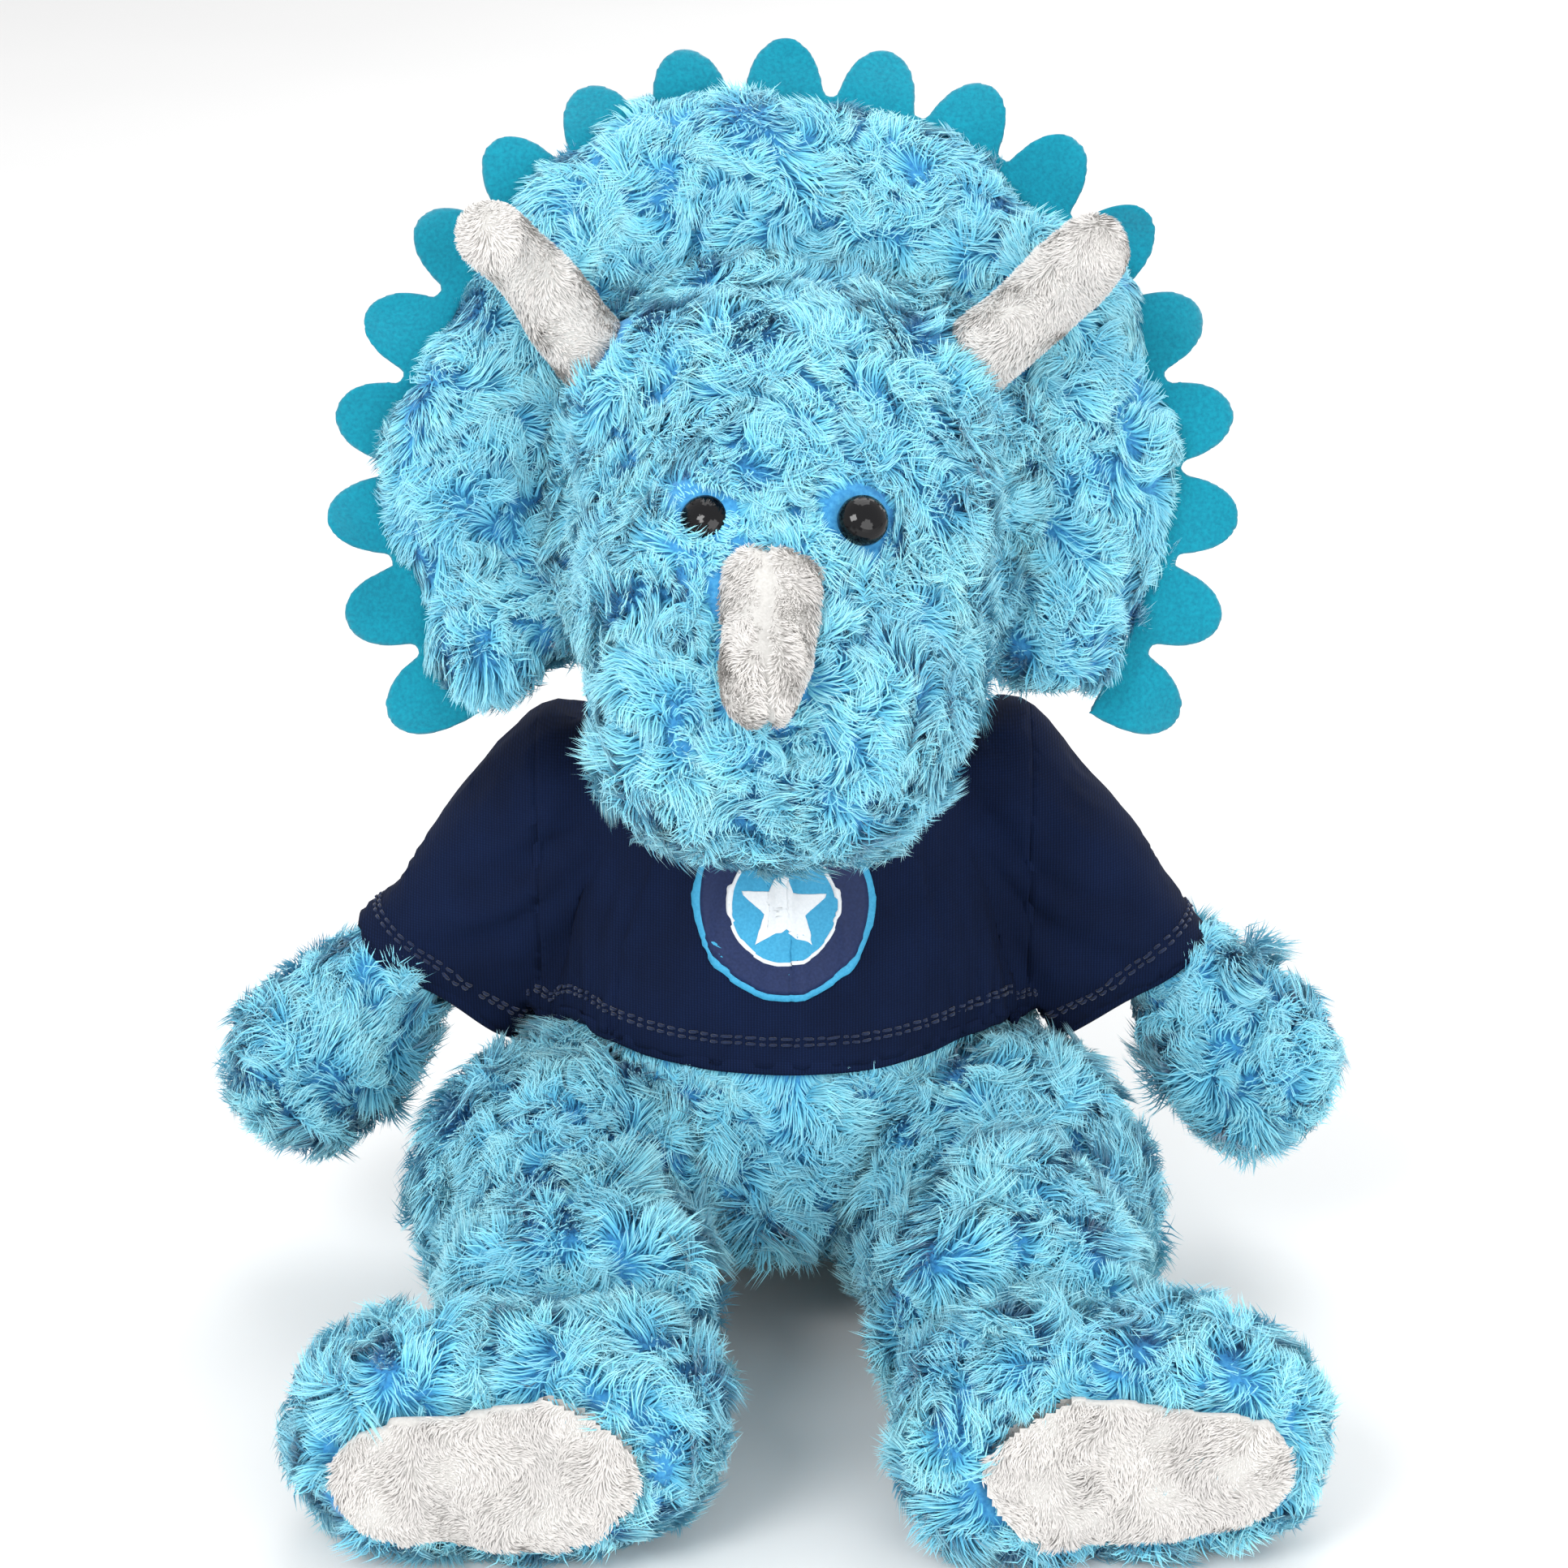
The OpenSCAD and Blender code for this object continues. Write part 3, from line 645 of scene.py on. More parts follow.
head = soft_form("head_cover", ["head_skin", "head_stuffing"], swell=-SINK["head"])
frill = soft_form("frill_cover", ["frill_front_skin", "frill_back_skin", "frill_stuffing"], rounds=14,
                  swell=-SINK["frill"])
torso = soft_form("torso_cover", ["torso_skin", "torso_stuffing"], rounds=4, swell=-SINK["torso"])
neck = soft_form("neck_cover", ["neck_stuffing"], rounds=2, swell=2 * MM)
tail = soft_form("tail_cover", ["tail_skin", "tail_stuffing"], swell=-SINK["tail"])
arms = {s: soft_form(f"{s}_arm_cover", [f"{s}_arm_skin", f"{s}_arm_stuffing"], swell=-SINK["arm"])
        for s in SIDES}
LEG_NODES = ("leg_skin", "leg_stuffing", "foot_skin", "foot_stuffing")
legs = {s: soft_form(f"{s}_leg_cover", [f"{s}_{part}" for part in (*LEG_NODES, "sole_pad")],
                     rounds=22, swell=-SINK["leg"])
        for s in SIDES}

# Uneven stuffing: how wide and how high its lumps are. The legs stay even beside their soles.
SOLE_BACK = min(box_of(f"{s}_sole_pad")[0][1] for s in SIDES) + 4 * MM
for form, wide, high in ((head, 60 * MM, 1.6 * MM), (frill, 46 * MM, 3.0 * MM), (torso, 60 * MM, 1.5 * MM),
                         (legs["left"], 44 * MM, 1.4 * MM), (legs["right"], 44 * MM, 1.4 * MM)):
    co = coords(form.data)
    puff = high * Ripple(wide, SEED + 40)(co)
    if form in legs.values():
        puff *= smooth_step(co[:, 1], SOLE_BACK, SOLE_BACK + 12 * MM)
    swell_by(form.data, puff)


def lift_crotch(form, lift=21 * MM, top=52 * MM, front_y=-25 * MM, back_y=30 * MM):
    """The toy sits on the back of its seat: the seat's front curves up between the legs."""
    co = coords(form.data)
    front = 1 - smooth_step(co[:, 1], front_y, back_y)
    co[:, 2] += lift * front * np.clip(1 - co[:, 2] / top, 0, 1) ** 1.4
    set_coords(form.data, co)


lift_crotch(torso)

frill_skin = coords(frame["nodes"]["frill_front_skin"].data)
widest = np.abs(frill_skin[:, 0]) > 0.995 * np.abs(frill_skin[:, 0]).max()
frill_mid = frill_skin[widest].mean(axis=0) * np.array([0, 1, 1])
FRILL_NORMAL = unit(np.array([0.0, -0.927, 0.375]))
FRILL_END = math.radians(32)


def from_frill_mid(points):
    """The way to each point from the frill's middle, in the frill's plane, and its distance."""
    out = points - frill_mid
    out -= (out @ FRILL_NORMAL)[:, None] * FRILL_NORMAL
    return out, np.linalg.norm(out, axis=1)


def close_frill(form, reach=5 * MM, sewn=58 * MM, free=76 * MM):
    """The frill's inner edge closes on the head, where it is sewn."""
    co = coords(form.data)
    out, far = from_frill_mid(co)
    inner = 1 - smooth_step(far, sewn, free)
    set_coords(form.data, co - (reach * inner / far)[:, None] * out)


def widen_frill_ends(form, turn=math.radians(9)):
    """The frill's padded ends reach round towards the cheeks."""
    co = coords(form.data)
    out = co - frill_mid
    up = np.cross(np.array([1.0, 0, 0]), FRILL_NORMAL)
    up = up if up[2] > 0 else -up
    from_bottom = np.arctan2(np.abs(out[:, 0]), -(out @ up))
    near = 1 - smooth_step(from_bottom, FRILL_END, FRILL_END + math.radians(40))
    inner = 1.4 - smooth_step(np.linalg.norm(out, axis=1), 55 * MM, 97 * MM)
    angle = turn * near * inner * np.sign(out[:, 0])
    side = rotate_about(out, np.tile(FRILL_NORMAL, (len(out), 1)), angle)
    other = rotate_about(out, np.tile(FRILL_NORMAL, (len(out), 1)), -angle)
    closer = np.abs(side[:, 0]) < np.abs(other[:, 0])
    set_coords(form.data, frill_mid + np.where(closer[:, None], side, other))


close_frill(frill)
widen_frill_ends(frill)

HEEL_COVER = 11.0 * MM


def heel_end(s, points):
    """Where the pile grows over the sole: round its end towards the middle."""
    low, high = box_of(f"{s}_sole_pad")
    half = (high - low) / 2 - np.array([HEEL_COVER / 2, 0, -1 * MM])
    toe_way = -1 if s == "left" else 1
    middle = (high + low) / 2 + np.array([toe_way * HEEL_COVER / 2, 0, 0])
    across, up = ((points - middle) / half)[:, [0, 2]].T
    return (across * toe_way < 0) & (across**2 + up**2 > 1)


def clear_soles(s, room=4 * MM):
    """The foot's cloth lies back behind the sole."""
    co = coords(legs[s].data)
    pad = tree_of(frame["nodes"][f"{s}_sole_pad"])
    near = 1 - smooth_step(distance_to(pad, co)[0], 2 * MM, 6 * MM)
    near[heel_end(s, co)] = 0
    co[:, 1] += room * near
    set_coords(legs[s].data, co)
    relax(legs[s].data, 2)


for s in SIDES:
    clear_soles(s)

for form in (head, frill, torso, neck, tail, *arms.values(), *legs.values()):
    form.data.materials.clear()
    form.data.materials.append(BLUE_BACKING)

for form, body, *nodes in (
    (head, "head", "head_skin", "head_stuffing"),
    (frill, "head", "frill_front_skin", "frill_back_skin", "frill_stuffing"),
    (torso, "torso", "torso_skin", "torso_stuffing", "seat_pellet_bag"),
    (neck, "neck", "neck_stuffing"),
    (tail, "tail", "tail_skin", "tail_stuffing"),
):
    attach(form, body)
    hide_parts(*nodes)

HORN_NODES = ("left_brow_horn", "right_brow_horn", "nose_horn")
eye_mid = [sum(box_of(f"{s}_eye")) / 2 for s in SIDES]


def raise_round_trims(at_frill=1.7, at_eyes=0.6):
    """The cloth comes back up by its sink at the horns' seams, by more at the frill and less at the eyes."""
    co = coords(head.data)
    near = at_frill * (1 - smooth_step(distance_to(tree_of(frill), co)[0], 5 * MM, 20 * MM))
    for name in HORN_NODES:
        seam = tree_of(frame["nodes"][f"{name}_skin"])
        near = np.maximum(near, 1 - smooth_step(distance_to(seam, co)[0], 4 * MM, 13 * MM))
    for middle in eye_mid:
        far = np.linalg.norm(co - middle, axis=1)
        near += (at_eyes - near) * (1 - smooth_step(far, 8 * MM, 17 * MM))
    swell_by(head.data, SINK["head"] * near)


raise_round_trims()
trees = {"head": tree_of(head), "frill": tree_of(frill), "torso": tree_of(torso), "tail": tree_of(tail)}
for s in SIDES:
    trees[f"{s}_leg"] = tree_of(legs[s])

# ---- legs and feet


def leg_blend(piece):
    """Bakes the piece's placement into its mesh."""
    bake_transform(piece)


def minky_pad(obj, body, *nodes):
    """A pad of pale minky that rides on a body and stands for its CAD nodes."""
    obj.data.materials.append(PALE_BACKING)
    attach(obj, body)
    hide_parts(*nodes)


soles = {}
for s in SIDES:
    leg_blend(legs[s])
    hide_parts(*[f"{s}_{part}" for part in LEG_NODES])
    sole = soft_form(f"{s}_sole", [f"{s}_sole_pad"], voxel=1.2 * MM, rounds=6, swell=0.9 * MM)
    dent = Ripple(34 * MM, SEED + 60)(coords(sole.data))
    set_coords(sole.data, coords(sole.data) + np.array([0, 1, 0]) * (0.9 * MM * dent)[:, None])
    drop_points(sole, heel_end(s, coords(sole.data)))
    minky_pad(sole, f"{s}_foot", f"{s}_sole_pad")
    soles[s] = sole
    trees[f"{s}_sole"] = tree_of(sole)

# ---- arms

SHOULDER = {s: joint_place(f"{s}_arm_swing") for s in SIDES}
ARM_AXIS, SLEEVE_END = {}, 58 * MM
for s in SIDES:
    skin = coords(frame["nodes"][f"{s}_arm_skin"].data)
    hand = skin[np.linalg.norm(skin - SHOULDER[s], axis=1) > 70 * MM].mean(axis=0)
    ARM_AXIS[s] = unit(hand - SHOULDER[s])
    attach(arms[s], f"{s}_arm")
    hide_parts(f"{s}_arm_skin", f"{s}_arm_stuffing")

# ---- horns

horns = {}
for name in HORN_NODES:
    horn = soft_form(f"{name}_cover", [f"{name}_skin", f"{name}_stuffing"], voxel=1.5 * MM, rounds=6)
    swell_by(horn.data, 0.7 * MM * Ripple(30 * MM, SEED + 70)(coords(horn.data)))
    if name == "nose_horn":  # sewn down its middle
        across = coords(horn.data)[:, 0]
        swell_by(horn.data, -1.8 * MM * np.exp(-(((across - across.mean()) / (1.3 * MM)) ** 2)))
    minky_pad(horn, "head", f"{name}_skin", f"{name}_stuffing")
    horns[name] = horn
    trees[name] = tree_of(horn)

# ---- felt scallops

felt = soft_form("felt_scallops", ["frill_felt_strip"], voxel=0.9 * MM, rounds=1)
co = coords(felt.data)
FELT_ROOT, FELT_REACH = 92 * MM, 20 * MM  # where the scallops leave the rim, and how far they go
FELT_STRETCH, FELT_LEAN = 0.3, 4 * MM
out, far = from_frill_mid(co)
beyond = np.maximum(far - FELT_ROOT, 0)
lean = Ripple(34 * MM, SEED + 80)(co)
bend = ((beyond / FELT_REACH) ** 1.5 * FELT_LEAN * lean)[:, None] * FRILL_NORMAL
set_coords(felt.data, co + bend + (FELT_STRETCH * beyond)[:, None] * unit(out))
felt.data.materials.append(FELT)
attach(felt, "head")
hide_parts("frill_felt_strip")

# ---- T-shirt

HEM_Z, NECK_Z, ARMHOLE_X, SPLIT_X = 91 * MM, 148 * MM, 75 * MM, 63 * MM
collar_low, collar_high = box_of("shirt_collar")
COLLAR_R = (collar_high[0] - collar_low[0]) / 2
SHIRT_EASE = 3.2 * MM


def open_neck(obj):
    """Cuts a round neck hole and trues its edge."""
    with opened(obj.data) as bm:
        middles = {f: f.calc_center_median() for f in bm.faces}
        over_neck = [f for f, c in middles.items() if math.hypot(c.x, c.y) < COLLAR_R and c.z > NECK_Z]
        bmesh.ops.delete(bm, geom=over_neck, context="FACES")
        for v in bm.verts:
            if v.is_boundary and v.co.z > NECK_Z and math.hypot(v.co.x, v.co.y) < COLLAR_R + 6 * MM:
                out = COLLAR_R / math.hypot(v.co.x, v.co.y)
                v.co.x *= out
                v.co.y *= out


def slope_shoulders(form, drop=8 * MM):
    """The stuffing slopes down over the shoulders."""
    co = coords(form.data)
    across = np.abs(co[:, 0])
    over = smooth_step(across, 56 * MM, 76 * MM) * (1 - smooth_step(across, 88 * MM, 106 * MM))
    co[:, 2] -= drop * over * smooth_step(co[:, 2], 118 * MM, 152 * MM)
    set_coords(form.data, co)


def shirt_shape():
    nodes = ["shirt_front", "shirt_back", "torso_skin", "torso_stuffing"]
    for s in SIDES:
        nodes += [f"{s}_sleeve", f"{s}_arm_skin", f"{s}_arm_stuffing"]
    obj = soft_form("shirt", nodes, voxel=3.0 * MM, rounds=8, swell=SHIRT_EASE)
    cut_open(obj, (0, 0, HEM_Z), (0, 0, -1), lambda c: abs(c.x) < ARMHOLE_X)
    open_neck(obj)
    for s in SIDES:
        sign = -1 if s == "left" else 1
        end = SHOULDER[s] + SLEEVE_END * ARM_AXIS[s]
        cut_open(obj, tuple(end), tuple(ARM_AXIS[s]), lambda c: sign * c.x > ARMHOLE_X)
    slope_shoulders(obj)
    relax(obj.data, 3, hold_edges=True)
    return obj


def simulate_shirt(obj, frames=25):
    """Lets the shirt hang on the body, then keeps the hung shape."""
    bodies = [torso, *arms.values()]
    for body in bodies:
        body.modifiers.new("collide", "COLLISION")
        body.collision.thickness_outer = 1.2 * MM
        body.collision.cloth_friction = 8.0
    cloth = obj.modifiers.new("cloth", "CLOTH")
    use = cloth.settings
    use.quality = 6
    use.mass = 0.15
    use.tension_stiffness = use.compression_stiffness = 8.0
    use.shear_stiffness = 4.0
    use.bending_stiffness = 0.05
    use.shrink_min = -0.055
    use.pin_stiffness = 1.0
    pins = obj.vertex_groups.new(name="pins")
    top = [v.index for v in obj.data.vertices
           if v.co.z > NECK_Z and math.hypot(v.co.x, v.co.y) < COLLAR_R + 5 * MM]
    pins.add(top, 1.0, "REPLACE")
    use.vertex_group_mass = "pins"
    cloth.collision_settings.distance_min = 0.8 * MM
    cloth.collision_settings.use_self_collision = False
    scene = bpy.context.scene
    for frame_number in range(1, frames + 1):
        scene.frame_set(frame_number)
    applied(obj)
    scene.frame_set(1)
    for body in bodies:
        body.modifiers.clear()


for s in SIDES:
    slope_shoulders(arms[s])
shirt = shirt_shape()
simulate_shirt(shirt)
relax(shirt.data, 1, hold_edges=True)


def slim_in_sleeve(s, least=0.5):
    """The arm is gathered narrow at its shoulder seam, so it turns inside the sleeve without touching it."""
    co = coords(arms[s].data)
    down = (co - SHOULDER[s]) @ ARM_AXIS[s]
    middle = SHOULDER[s] + down[:, None] * ARM_AXIS[s]
    width = least + (1 - least) * smooth_step(down, 18 * MM, 44 * MM)
    set_coords(arms[s].data, middle + width[:, None] * (co - middle))


for s in SIDES:
    slim_in_sleeve(s)


def wrinkle(mesh):
    """Soft folds across the chest and from the armholes."""
    stretched = coords(mesh) * np.array([0.55, 1.0, 1.6])
    swell_by(mesh, 0.8 * MM * Ripple(40 * MM, SEED + 90)(stretched))


wrinkle(shirt.data)


def edge_loops(mesh):
    """The open edges of a mesh, as ordered closed loops of point numbers."""
    with opened(mesh, write=False) as bm:
        left = {v.index: [e.other_vert(v).index for e in v.link_edges if e.is_boundary]
                for v in bm.verts if v.is_boundary}
    loops = []
    while left:
        start = next(iter(left))
        loop, here, before = [], start, None
        while here in left:
            loop.append(here)
            around = left.pop(here)
            here, before = next((n for n in around if n != before and n in left), start), here
        loops.append(loop)
    return [loop for loop in loops if len(loop) > 20]


def smooth_loop(points, rounds=6):
    for _ in range(rounds):
        points = (np.roll(points, 1, axis=0) + 2 * points + np.roll(points, -1, axis=0)) / 4
    return points


def hem_tube(name, mesh, loop, radius, mat, squeeze=0.6):
    """A rolled edge along a loop of the cloth."""
    points = smooth_loop(coords(mesh)[loop])
    normal = unit(smooth_loop(normals(mesh)[loop]))
    run = unit(np.roll(points, -1, axis=0) - np.roll(points, 1, axis=0))
    side = unit(np.cross(run, normal))
    sides = 10
    verts = []
    for p, n, t in zip(points, normal, side):
        for k in range(sides):
            a = 2 * math.pi * k / sides
            verts.append(p + radius * (math.cos(a) * squeeze * n + math.sin(a) * 1.6 * t))
    return new_object(name, verts, grid_faces(len(points), sides), mat)


def stitches(name, tree, points, inward, gap, size, mat, pitch=3.0 * MM, share=0.68, lie=0.75 * MM):
    """A row of stitches laid on the cloth, beside a loop of points. Each is a bar with sunk ends."""
    path = points + gap * inward
    close = np.vstack([path, path[:1]])
    length = np.linalg.norm(np.diff(close, axis=0), axis=1)
    reach = np.concatenate([[0], np.cumsum(length)])
    sections = ((0.0, -0.15, 0.6), (0.25, 0.75, 1.0), (0.75, 0.75, 1.0), (1.0, -0.15, 0.6))
    verts, faces = [], []
    for start in np.arange(0, reach[-1] - pitch, pitch):
        ends = []
        for s in (start, start + share * pitch):
            p = np.array([np.interp(s, reach, close[:, k]) for k in range(3)])
            near, n, _, _ = tree.find_nearest(Vector(p))
            ends.append((np.array(near), np.array(n)))
        (a, na), (b, nb) = ends
        run = unit(b - a)
        n = unit(na + nb)
        w = unit(np.cross(run, n))
        base = len(verts)
        for t, lift, wide in sections:
            mid = a + t * (b - a) + lie * n
            for su, sv in ((-1, -1), (1, -1), (1, 1), (-1, 1)):
                verts.append(mid + size * (wide * su * w / 2 + (lift + 0.5 * sv) * n * 0.7))
        caps = [(3, 2, 1, 0), (12, 13, 14, 15)]
        faces += [[base + i for i in face] for face in grid_faces(4, 4, closed=False) + caps]
    return new_object(name, verts, faces, mat)


SHIRT_OUTSIDE = tree_of(shirt)


def thicken(obj, thickness=1.4 * MM):
    solid = obj.modifiers.new("thick", "SOLIDIFY")
    solid.thickness = thickness
    solid.offset = 0.0
    applied(obj)
    obj.data.shade_smooth()


def part_of_shirt(name, left=None, right=None):
    """A copy of the shirt with only what lies between two planes across it."""
    obj = linked(name, shirt.data.copy())
    if left is not None:
        cut_open(obj, (left, 0, 0), (-1, 0, 0))
    if right is not None:
        cut_open(obj, (right, 0, 0), (1, 0, 0))
    obj.data.materials.clear()
    obj.data.materials.append(JERSEY)
    return obj


def sleeve_blend(piece):
    """Bakes the piece's placement into its mesh."""
    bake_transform(piece)


hems = {}
for loop in edge_loops(shirt.data):
    middle = coords(shirt.data)[loop].mean(axis=0)
    if abs(middle[0]) > 40 * MM:
        key = "left_sleeve" if middle[0] < 0 else "right_sleeve"
    else:
        key = "neck" if middle[2] > 0.12 else "hem"
    hems[key] = loop

hem_points = coords(shirt.data)[hems["hem"]]


def hem_level(points):
    """Height of the shirt's hem over each point."""
    flat = np.array([1, 1, 0])
    return hem_points[nearest_of(points * flat, hem_points * flat), 2]


shirt_body = part_of_shirt("shirt_body", -SPLIT_X, SPLIT_X)
sleeves = {"left": part_of_shirt("left_sleeve_cloth", right=-SPLIT_X),
           "right": part_of_shirt("right_sleeve_cloth", left=SPLIT_X)}
armholes = {}
for s in SIDES:
    for loop in edge_loops(sleeves[s].data):
        if abs(abs(coords(sleeves[s].data)[loop][:, 0].mean()) - SPLIT_X) < 1 * MM:
            armholes[s] = hem_tube(f"{s}_armhole_seam", sleeves[s].data, loop, 0.9 * MM, RIB)
for obj in (shirt_body, *sleeves.values()):
    thicken(obj)

trims = {"body": [*armholes.values()], "left": [], "right": []}
for key, loop in hems.items():
    group = "body" if key in ("neck", "hem") else key.split("_")[0]
    points = smooth_loop(coords(shirt.data)[loop])
    inward = {"hem": np.array([0, 0, 1.0]), "neck": np.array([0, 0, -1.0])}.get(key)
    if inward is None:
        inward = -ARM_AXIS[group]
    roll = hem_tube(f"{key}_roll", shirt.data, loop, 1.3 * MM, RIB)
    trims[group].append(roll)
    for row, gap in enumerate((6.0 * MM, 7.6 * MM) if key != "neck" else (2.6 * MM,)):
        stitch = stitches(f"{key}_stitch_{row + 1}", SHIRT_OUTSIDE, points, inward, gap, 0.7 * MM, THREAD)
        trims[group].append(stitch)

for trim in trims["body"]:
    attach(trim, "torso")
for s in SIDES:
    for trim in trims[s]:
        sleeve_blend(trim)

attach(shirt_body, "torso")
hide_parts("shirt_front", "shirt_back")
for s in SIDES:
    sleeve_blend(sleeves[s])
    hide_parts(f"{s}_sleeve")
bpy.data.objects.remove(shirt)

# collar
collar_mid = (collar_low + collar_high) / 2
collar_h = collar_high[2] - collar_low[2]
# Its section: how far out of the neck hole's edge, and how high as a share of its height.
section = [(-2.2, -0.7), (2.0, -0.75), (2.4, -0.2), (0.6, 0.45), (-0.6, 0.5), (-1.6, 0.3)]
sides = 96
verts = []
for out, up in section:
    for k in range(sides):
        a, r = 2 * math.pi * k / sides, COLLAR_R + out * MM
        verts.append(collar_mid + np.array([r * math.cos(a), r * math.sin(a), up * collar_h]))
collar = new_object("collar", verts, grid_faces(len(section), sides), RIB)
subdivide = collar.modifiers.new("smooth", "SUBSURF")
subdivide.levels = subdivide.render_levels = 2
applied(collar)
collar.data.shade_smooth()
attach(collar, "torso")
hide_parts("shirt_collar")

# badge
badge_low, badge_high = box_of("shirt_badge")
BADGE_R = (badge_high[0] - badge_low[0]) / 2
BADGE_MID = (badge_low + badge_high) / 2


def on_shirt(x, z, lift, even=3.5 * MM, clear=0.9 * MM):
    """A place on the shirt's front: evened out over the wrinkles round it, and clear of the cloth."""
    depths = []
    for around in range(9):
        a, r = math.radians(45 * around), (even if around else 0)
        start = Vector((x + r * math.cos(a), -0.3, z + r * math.sin(a)))
        depths.append(SHIRT_OUTSIDE.ray_cast(start, Vector((0, 1, 0)))[0].y)
    middle = np.array([x, min(depths[0], sum(depths) / len(depths)), z])
    normal = np.array(SHIRT_OUTSIDE.find_nearest(Vector(middle))[1])
    return middle + normal * (clear + lift)


def printed(name, outline, lift, mat, inner=0.02 * MM, rings=18, sides=120):
    """A printed shape on the shirt: outline(angle) gives its radius."""
    verts = []
    for i in range(rings + 1):
        for k in range(sides):
            a = 2 * math.pi * k / sides
            r = inner + (outline(a) - inner) * i / rings
            verts.append(on_shirt(BADGE_MID[0] + r * math.sin(a), BADGE_MID[2] + r * math.cos(a), lift))
    faces = [(a, d, c, b) for a, b, c, d in grid_faces(rings + 1, sides, closed=False)]
    obj = new_object(name, verts, faces, mat)
    solid = obj.modifiers.new("thick", "SOLIDIFY")
    solid.thickness = 0.25 * MM
    applied(obj)
    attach(obj, "torso")
    return obj


def star(points, outer, inner):
    """The outline of a star: straight lines between its tips and its notches."""
    half = math.pi / points
    notch_x, notch_y = inner * math.cos(half), inner * math.sin(half)

    def outline(a):
        angle = (1 - abs((a / half) % 2 - 1)) * half
        return outer * notch_y / (math.sin(angle) * (outer - notch_x) + math.cos(angle) * notch_y)

    return outline


badge = printed("badge_rim", lambda a: BADGE_R, 0.15 * MM, BADGE_BLUE)
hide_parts("shirt_badge")
printed("badge_band", lambda a: 0.93 * BADGE_R, 0.3 * MM, BADGE_NAVY)
printed("badge_centre", lambda a: 0.62 * BADGE_R, 0.45 * MM, BADGE_BLUE)
printed("badge_ring", lambda a: 0.62 * BADGE_R, 0.55 * MM, BADGE_WHITE, inner=0.58 * BADGE_R, rings=1)
printed("badge_star", star(5, 0.5 * BADGE_R, 0.22 * BADGE_R), 0.6 * MM, BADGE_WHITE)

# ---- eyes and washers

for s in SIDES:
    for part, mat in (("eye", EYE_BLACK), ("eye_washer", NYLON)):
        mesh = frame["nodes"][f"{s}_{part}"].data
        mesh.materials.clear()
        mesh.materials.append(mat)

# ---- pile on every part

EYE_CLEAR, SOLE_RIM, SHIRT_CLEAR = 6.0 * MM, 1.2 * MM, 5.0 * MM
UNDER_SEAM = -1 * MM  # the pile goes on this far inside the next part


def clear_of_eyes(points):
    allowed = np.ones(len(points), dtype=bool)
    for middle in eye_mid:
        allowed &= np.linalg.norm(points - middle, axis=1) > EYE_CLEAR
    return allowed


def head_keep(points, _normals):
    free = outside_of(points, *[trees[name] for name in HORN_NODES])
    return free & outside_of(points, trees["frill"], margin=UNDER_SEAM) & clear_of_eyes(points)


def head_flow(points):
    """Combed down the face, away from the eyes and from the feet of the horns."""
    way, free = combed_to((0, -0.6, -0.6))(points)
    for middle in eye_mid:
        away = points - middle
        far = np.linalg.norm(away, axis=1)
        pull = 1 - smooth_step(far, EYE_CLEAR, 15 * MM)
        way += 4 * pull[:, None] * away / far[:, None]
        free = np.minimum(free, 1 - 0.9 * pull)
    for name in HORN_NODES:
        far, away = distance_to(trees[name], points)
        pull = 1 - smooth_step(far, 0, 9 * MM)
        way += 3 * pull[:, None] * away
        free = np.minimum(free, 1 - 0.8 * pull)
    return way, free


def frill_keep(points, _normals):
    return outside_of(points, trees["head"], margin=UNDER_SEAM)


def frill_flow(points):
    """Calm towards the rim, where the felt shows."""
    way, free = combed_to((0, -0.2, -1))(points)
    out, far = from_frill_mid(points)
    rim = smooth_step(far, 82 * MM, 95 * MM)
    way += 0.8 * rim[:, None] * out / far[:, None]
    return way, 1 - 0.55 * rim


def torso_keep(points, _normals):
    free = outside_of(points, trees["left_leg"], trees["right_leg"], trees["tail"], margin=UNDER_SEAM)
    return free & (points[:, 2] < hem_level(points) + 3 * MM)


def torso_flow(points):
    """Combed down from under the shirt's hem."""
    way, free = DOWNWARD(points)
    below = hem_level(points) - points[:, 2]
    return way, 0.15 + 0.85 * smooth_step(below, 1 * MM, 11 * MM)


def arm_keep(s):
    return lambda points, _normals: (points - SHOULDER[s]) @ ARM_AXIS[s] > SLEEVE_END - 1 * MM


def arm_flow(s):
    """Combed down the arm, out of the sleeve."""

    def flow(points):
        down = (points - SHOULDER[s]) @ ARM_AXIS[s]
        return combed_to(ARM_AXIS[s])(points)[0], smooth_step(down, SLEEVE_END, SLEEVE_END + 14 * MM)

    return flow


def leg_keep(s):
    def keep(points, _normals):
        free = outside_of(points, trees["torso"], margin=UNDER_SEAM)
        free &= distance_to(SHIRT_OUTSIDE, points)[0] > SHIRT_CLEAR
        return free & ((distance_to(trees[f"{s}_sole"], points)[0] > SOLE_RIM) | heel_end(s, points))

    return keep


def sole_keep(s):
    """Only on the sole's outer face."""
    return lambda points, point_normals: (point_normals[:, 1] < -0.25) & ~heel_end(s, points)


def leg_flow(s):
    """Combed forwards, over the rim of the sole."""

    def flow(points):
        way, free = combed_to((0, -0.8, -0.5))(points)
        far, away = distance_to(trees[f"{s}_sole"], points)
        rim = 1 - smooth_step(far, 2 * MM, 14 * MM)
        return way - 1.2 * rim[:, None] * away, 1 - 0.45 * rim

    return flow


def horn_keep(name):
    """Everywhere outside the head, but not in the seam down the middle of the nose horn."""

    def keep(points, _normals):
        free = outside_of(points, trees["head"], margin=2 * UNDER_SEAM)
        if name == "nose_horn":
            free &= np.abs(points[:, 0] - coords(horns[name].data)[:, 0].mean()) > 0.9 * MM
        return free

    return keep


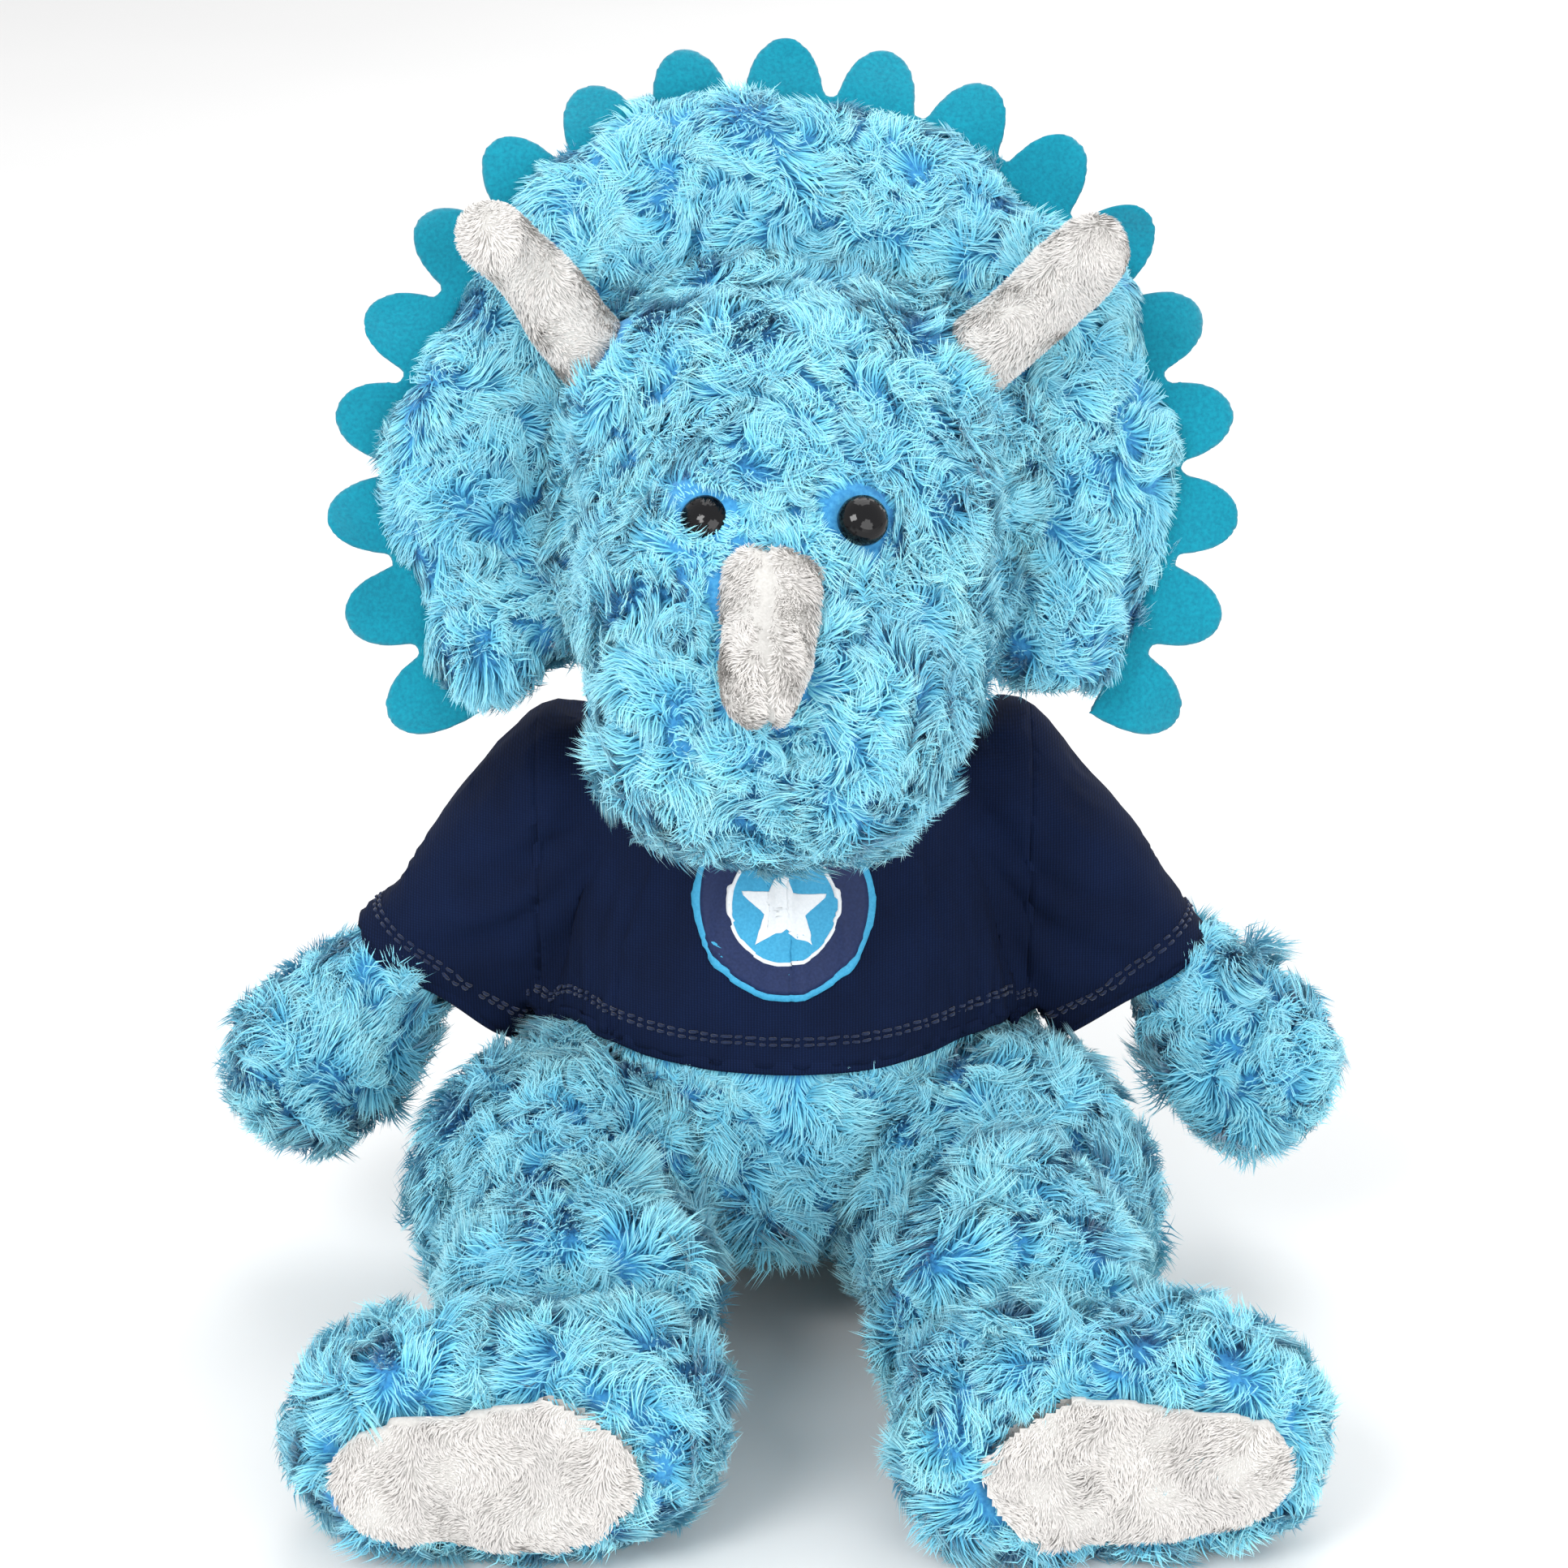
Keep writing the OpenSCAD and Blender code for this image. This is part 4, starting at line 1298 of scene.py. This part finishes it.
def pieces_on(pieces, body):
    for piece in pieces:
        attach(piece, body)


SHORT = dict(length=10.5 * MM)
pieces_on(grow_pile("head_pile", head, head_keep, head_flow, seed=1, **SHORT), "head")
pieces_on(grow_pile("frill_pile", frill, frill_keep, frill_flow, seed=2, **SHORT), "head")
pieces_on(grow_pile("torso_pile", torso, torso_keep, torso_flow, seed=3), "torso")
pieces_on(grow_pile("neck_pile", neck, lambda points, _normals: outside_of(points, trees["head"]),
                    seed=4, **SHORT), "neck")
pieces_on(grow_pile("tail_pile", tail, lambda points, _normals: outside_of(points, trees["torso"]),
                    combed_to((0, 1, -0.3)), seed=5), "tail")
MINKY = dict(per_mm2=5.0, length=2.6 * MM, width=0.34 * MM, swirl=1.0, swirl_size=20 * MM, lock=2.4 * MM,
             gather=0.15, curl=0.3, lean=(0.8, 1.3), mat=PALE_PILE, slot="pale_minky", sink=0.4 * MM)
for i, s in enumerate(SIDES):
    pieces_on(grow_pile(f"{s}_arm_pile", arms[s], arm_keep(s), arm_flow(s), seed=6 + i), f"{s}_arm")
    for piece in grow_pile(f"{s}_leg_pile", legs[s], leg_keep(s), leg_flow(s), seed=8 + i):
        leg_blend(piece)
    pieces_on(grow_pile(f"{s}_sole_pile", soles[s], sole_keep(s), seed=10 + i, **MINKY), f"{s}_foot")
for i, name in enumerate(HORN_NODES):
    pieces_on(grow_pile(f"{name}_pile", horns[name], horn_keep(name), seed=12 + i, **MINKY), "head")

# ---- floor, light and camera

FLOOR_HALF = 12.0
corners = [(x * FLOOR_HALF, y * FLOOR_HALF, 0) for x, y in ((-1, -1), (1, -1), (1, 1), (-1, 1))]
floor_mat = cloth_material("floor_pale", (0.80, 0.80, 0.80), (0.82, 0.82, 0.82), 3.0, 0.0, 0.9, 0.0)
floor = new_object("floor", corners, [(0, 1, 2, 3)], floor_mat)

world = bpy.data.worlds.new("studio")
world.use_nodes = True
background = next(n for n in world.node_tree.nodes if n.type == "BACKGROUND")
background.inputs["Color"].default_value = (1.0, 1.0, 1.0, 1)
background.inputs["Strength"].default_value = 0.9
bpy.context.scene.world = world


def area_light(name, place, target, size, power):
    light = bpy.data.lights.new(name, "AREA")
    light.shape = "DISK"
    light.size = size
    light.energy = power
    obj = linked(name, light)
    obj.location = place
    obj.rotation_euler = (Vector(target) - Vector(place)).to_track_quat("-Z", "Y").to_euler()


MIDDLE = Vector((0, -0.0436, 0.1536))
area_light("key", (-0.8, -1.3, 1.3), MIDDLE, 0.8, 20)
area_light("fill", (0.7, -1.6, 0.45), MIDDLE, 1.4, 17)
area_light("top", (0.1, 0.5, 1.6), MIDDLE, 1.2, 9)
area_light("back", (0.9, 1.4, 0.9), MIDDLE, 1.4, 10)
bpy.context.scene.view_settings.view_transform = "Standard"

ELEVATION, DISTANCE, LENS, SENSOR = math.radians(22), 1.100, 101.5, 36
camera_data = bpy.data.cameras.new("camera")
camera_data.lens = LENS
camera_data.sensor_width = SENSOR
camera = linked("camera", camera_data)
camera.location = MIDDLE + DISTANCE * Vector((0, -math.cos(ELEVATION), math.sin(ELEVATION)))
camera.rotation_euler = (MIDDLE - camera.location).to_track_quat("-Z", "Y").to_euler()
bpy.context.scene.camera = camera
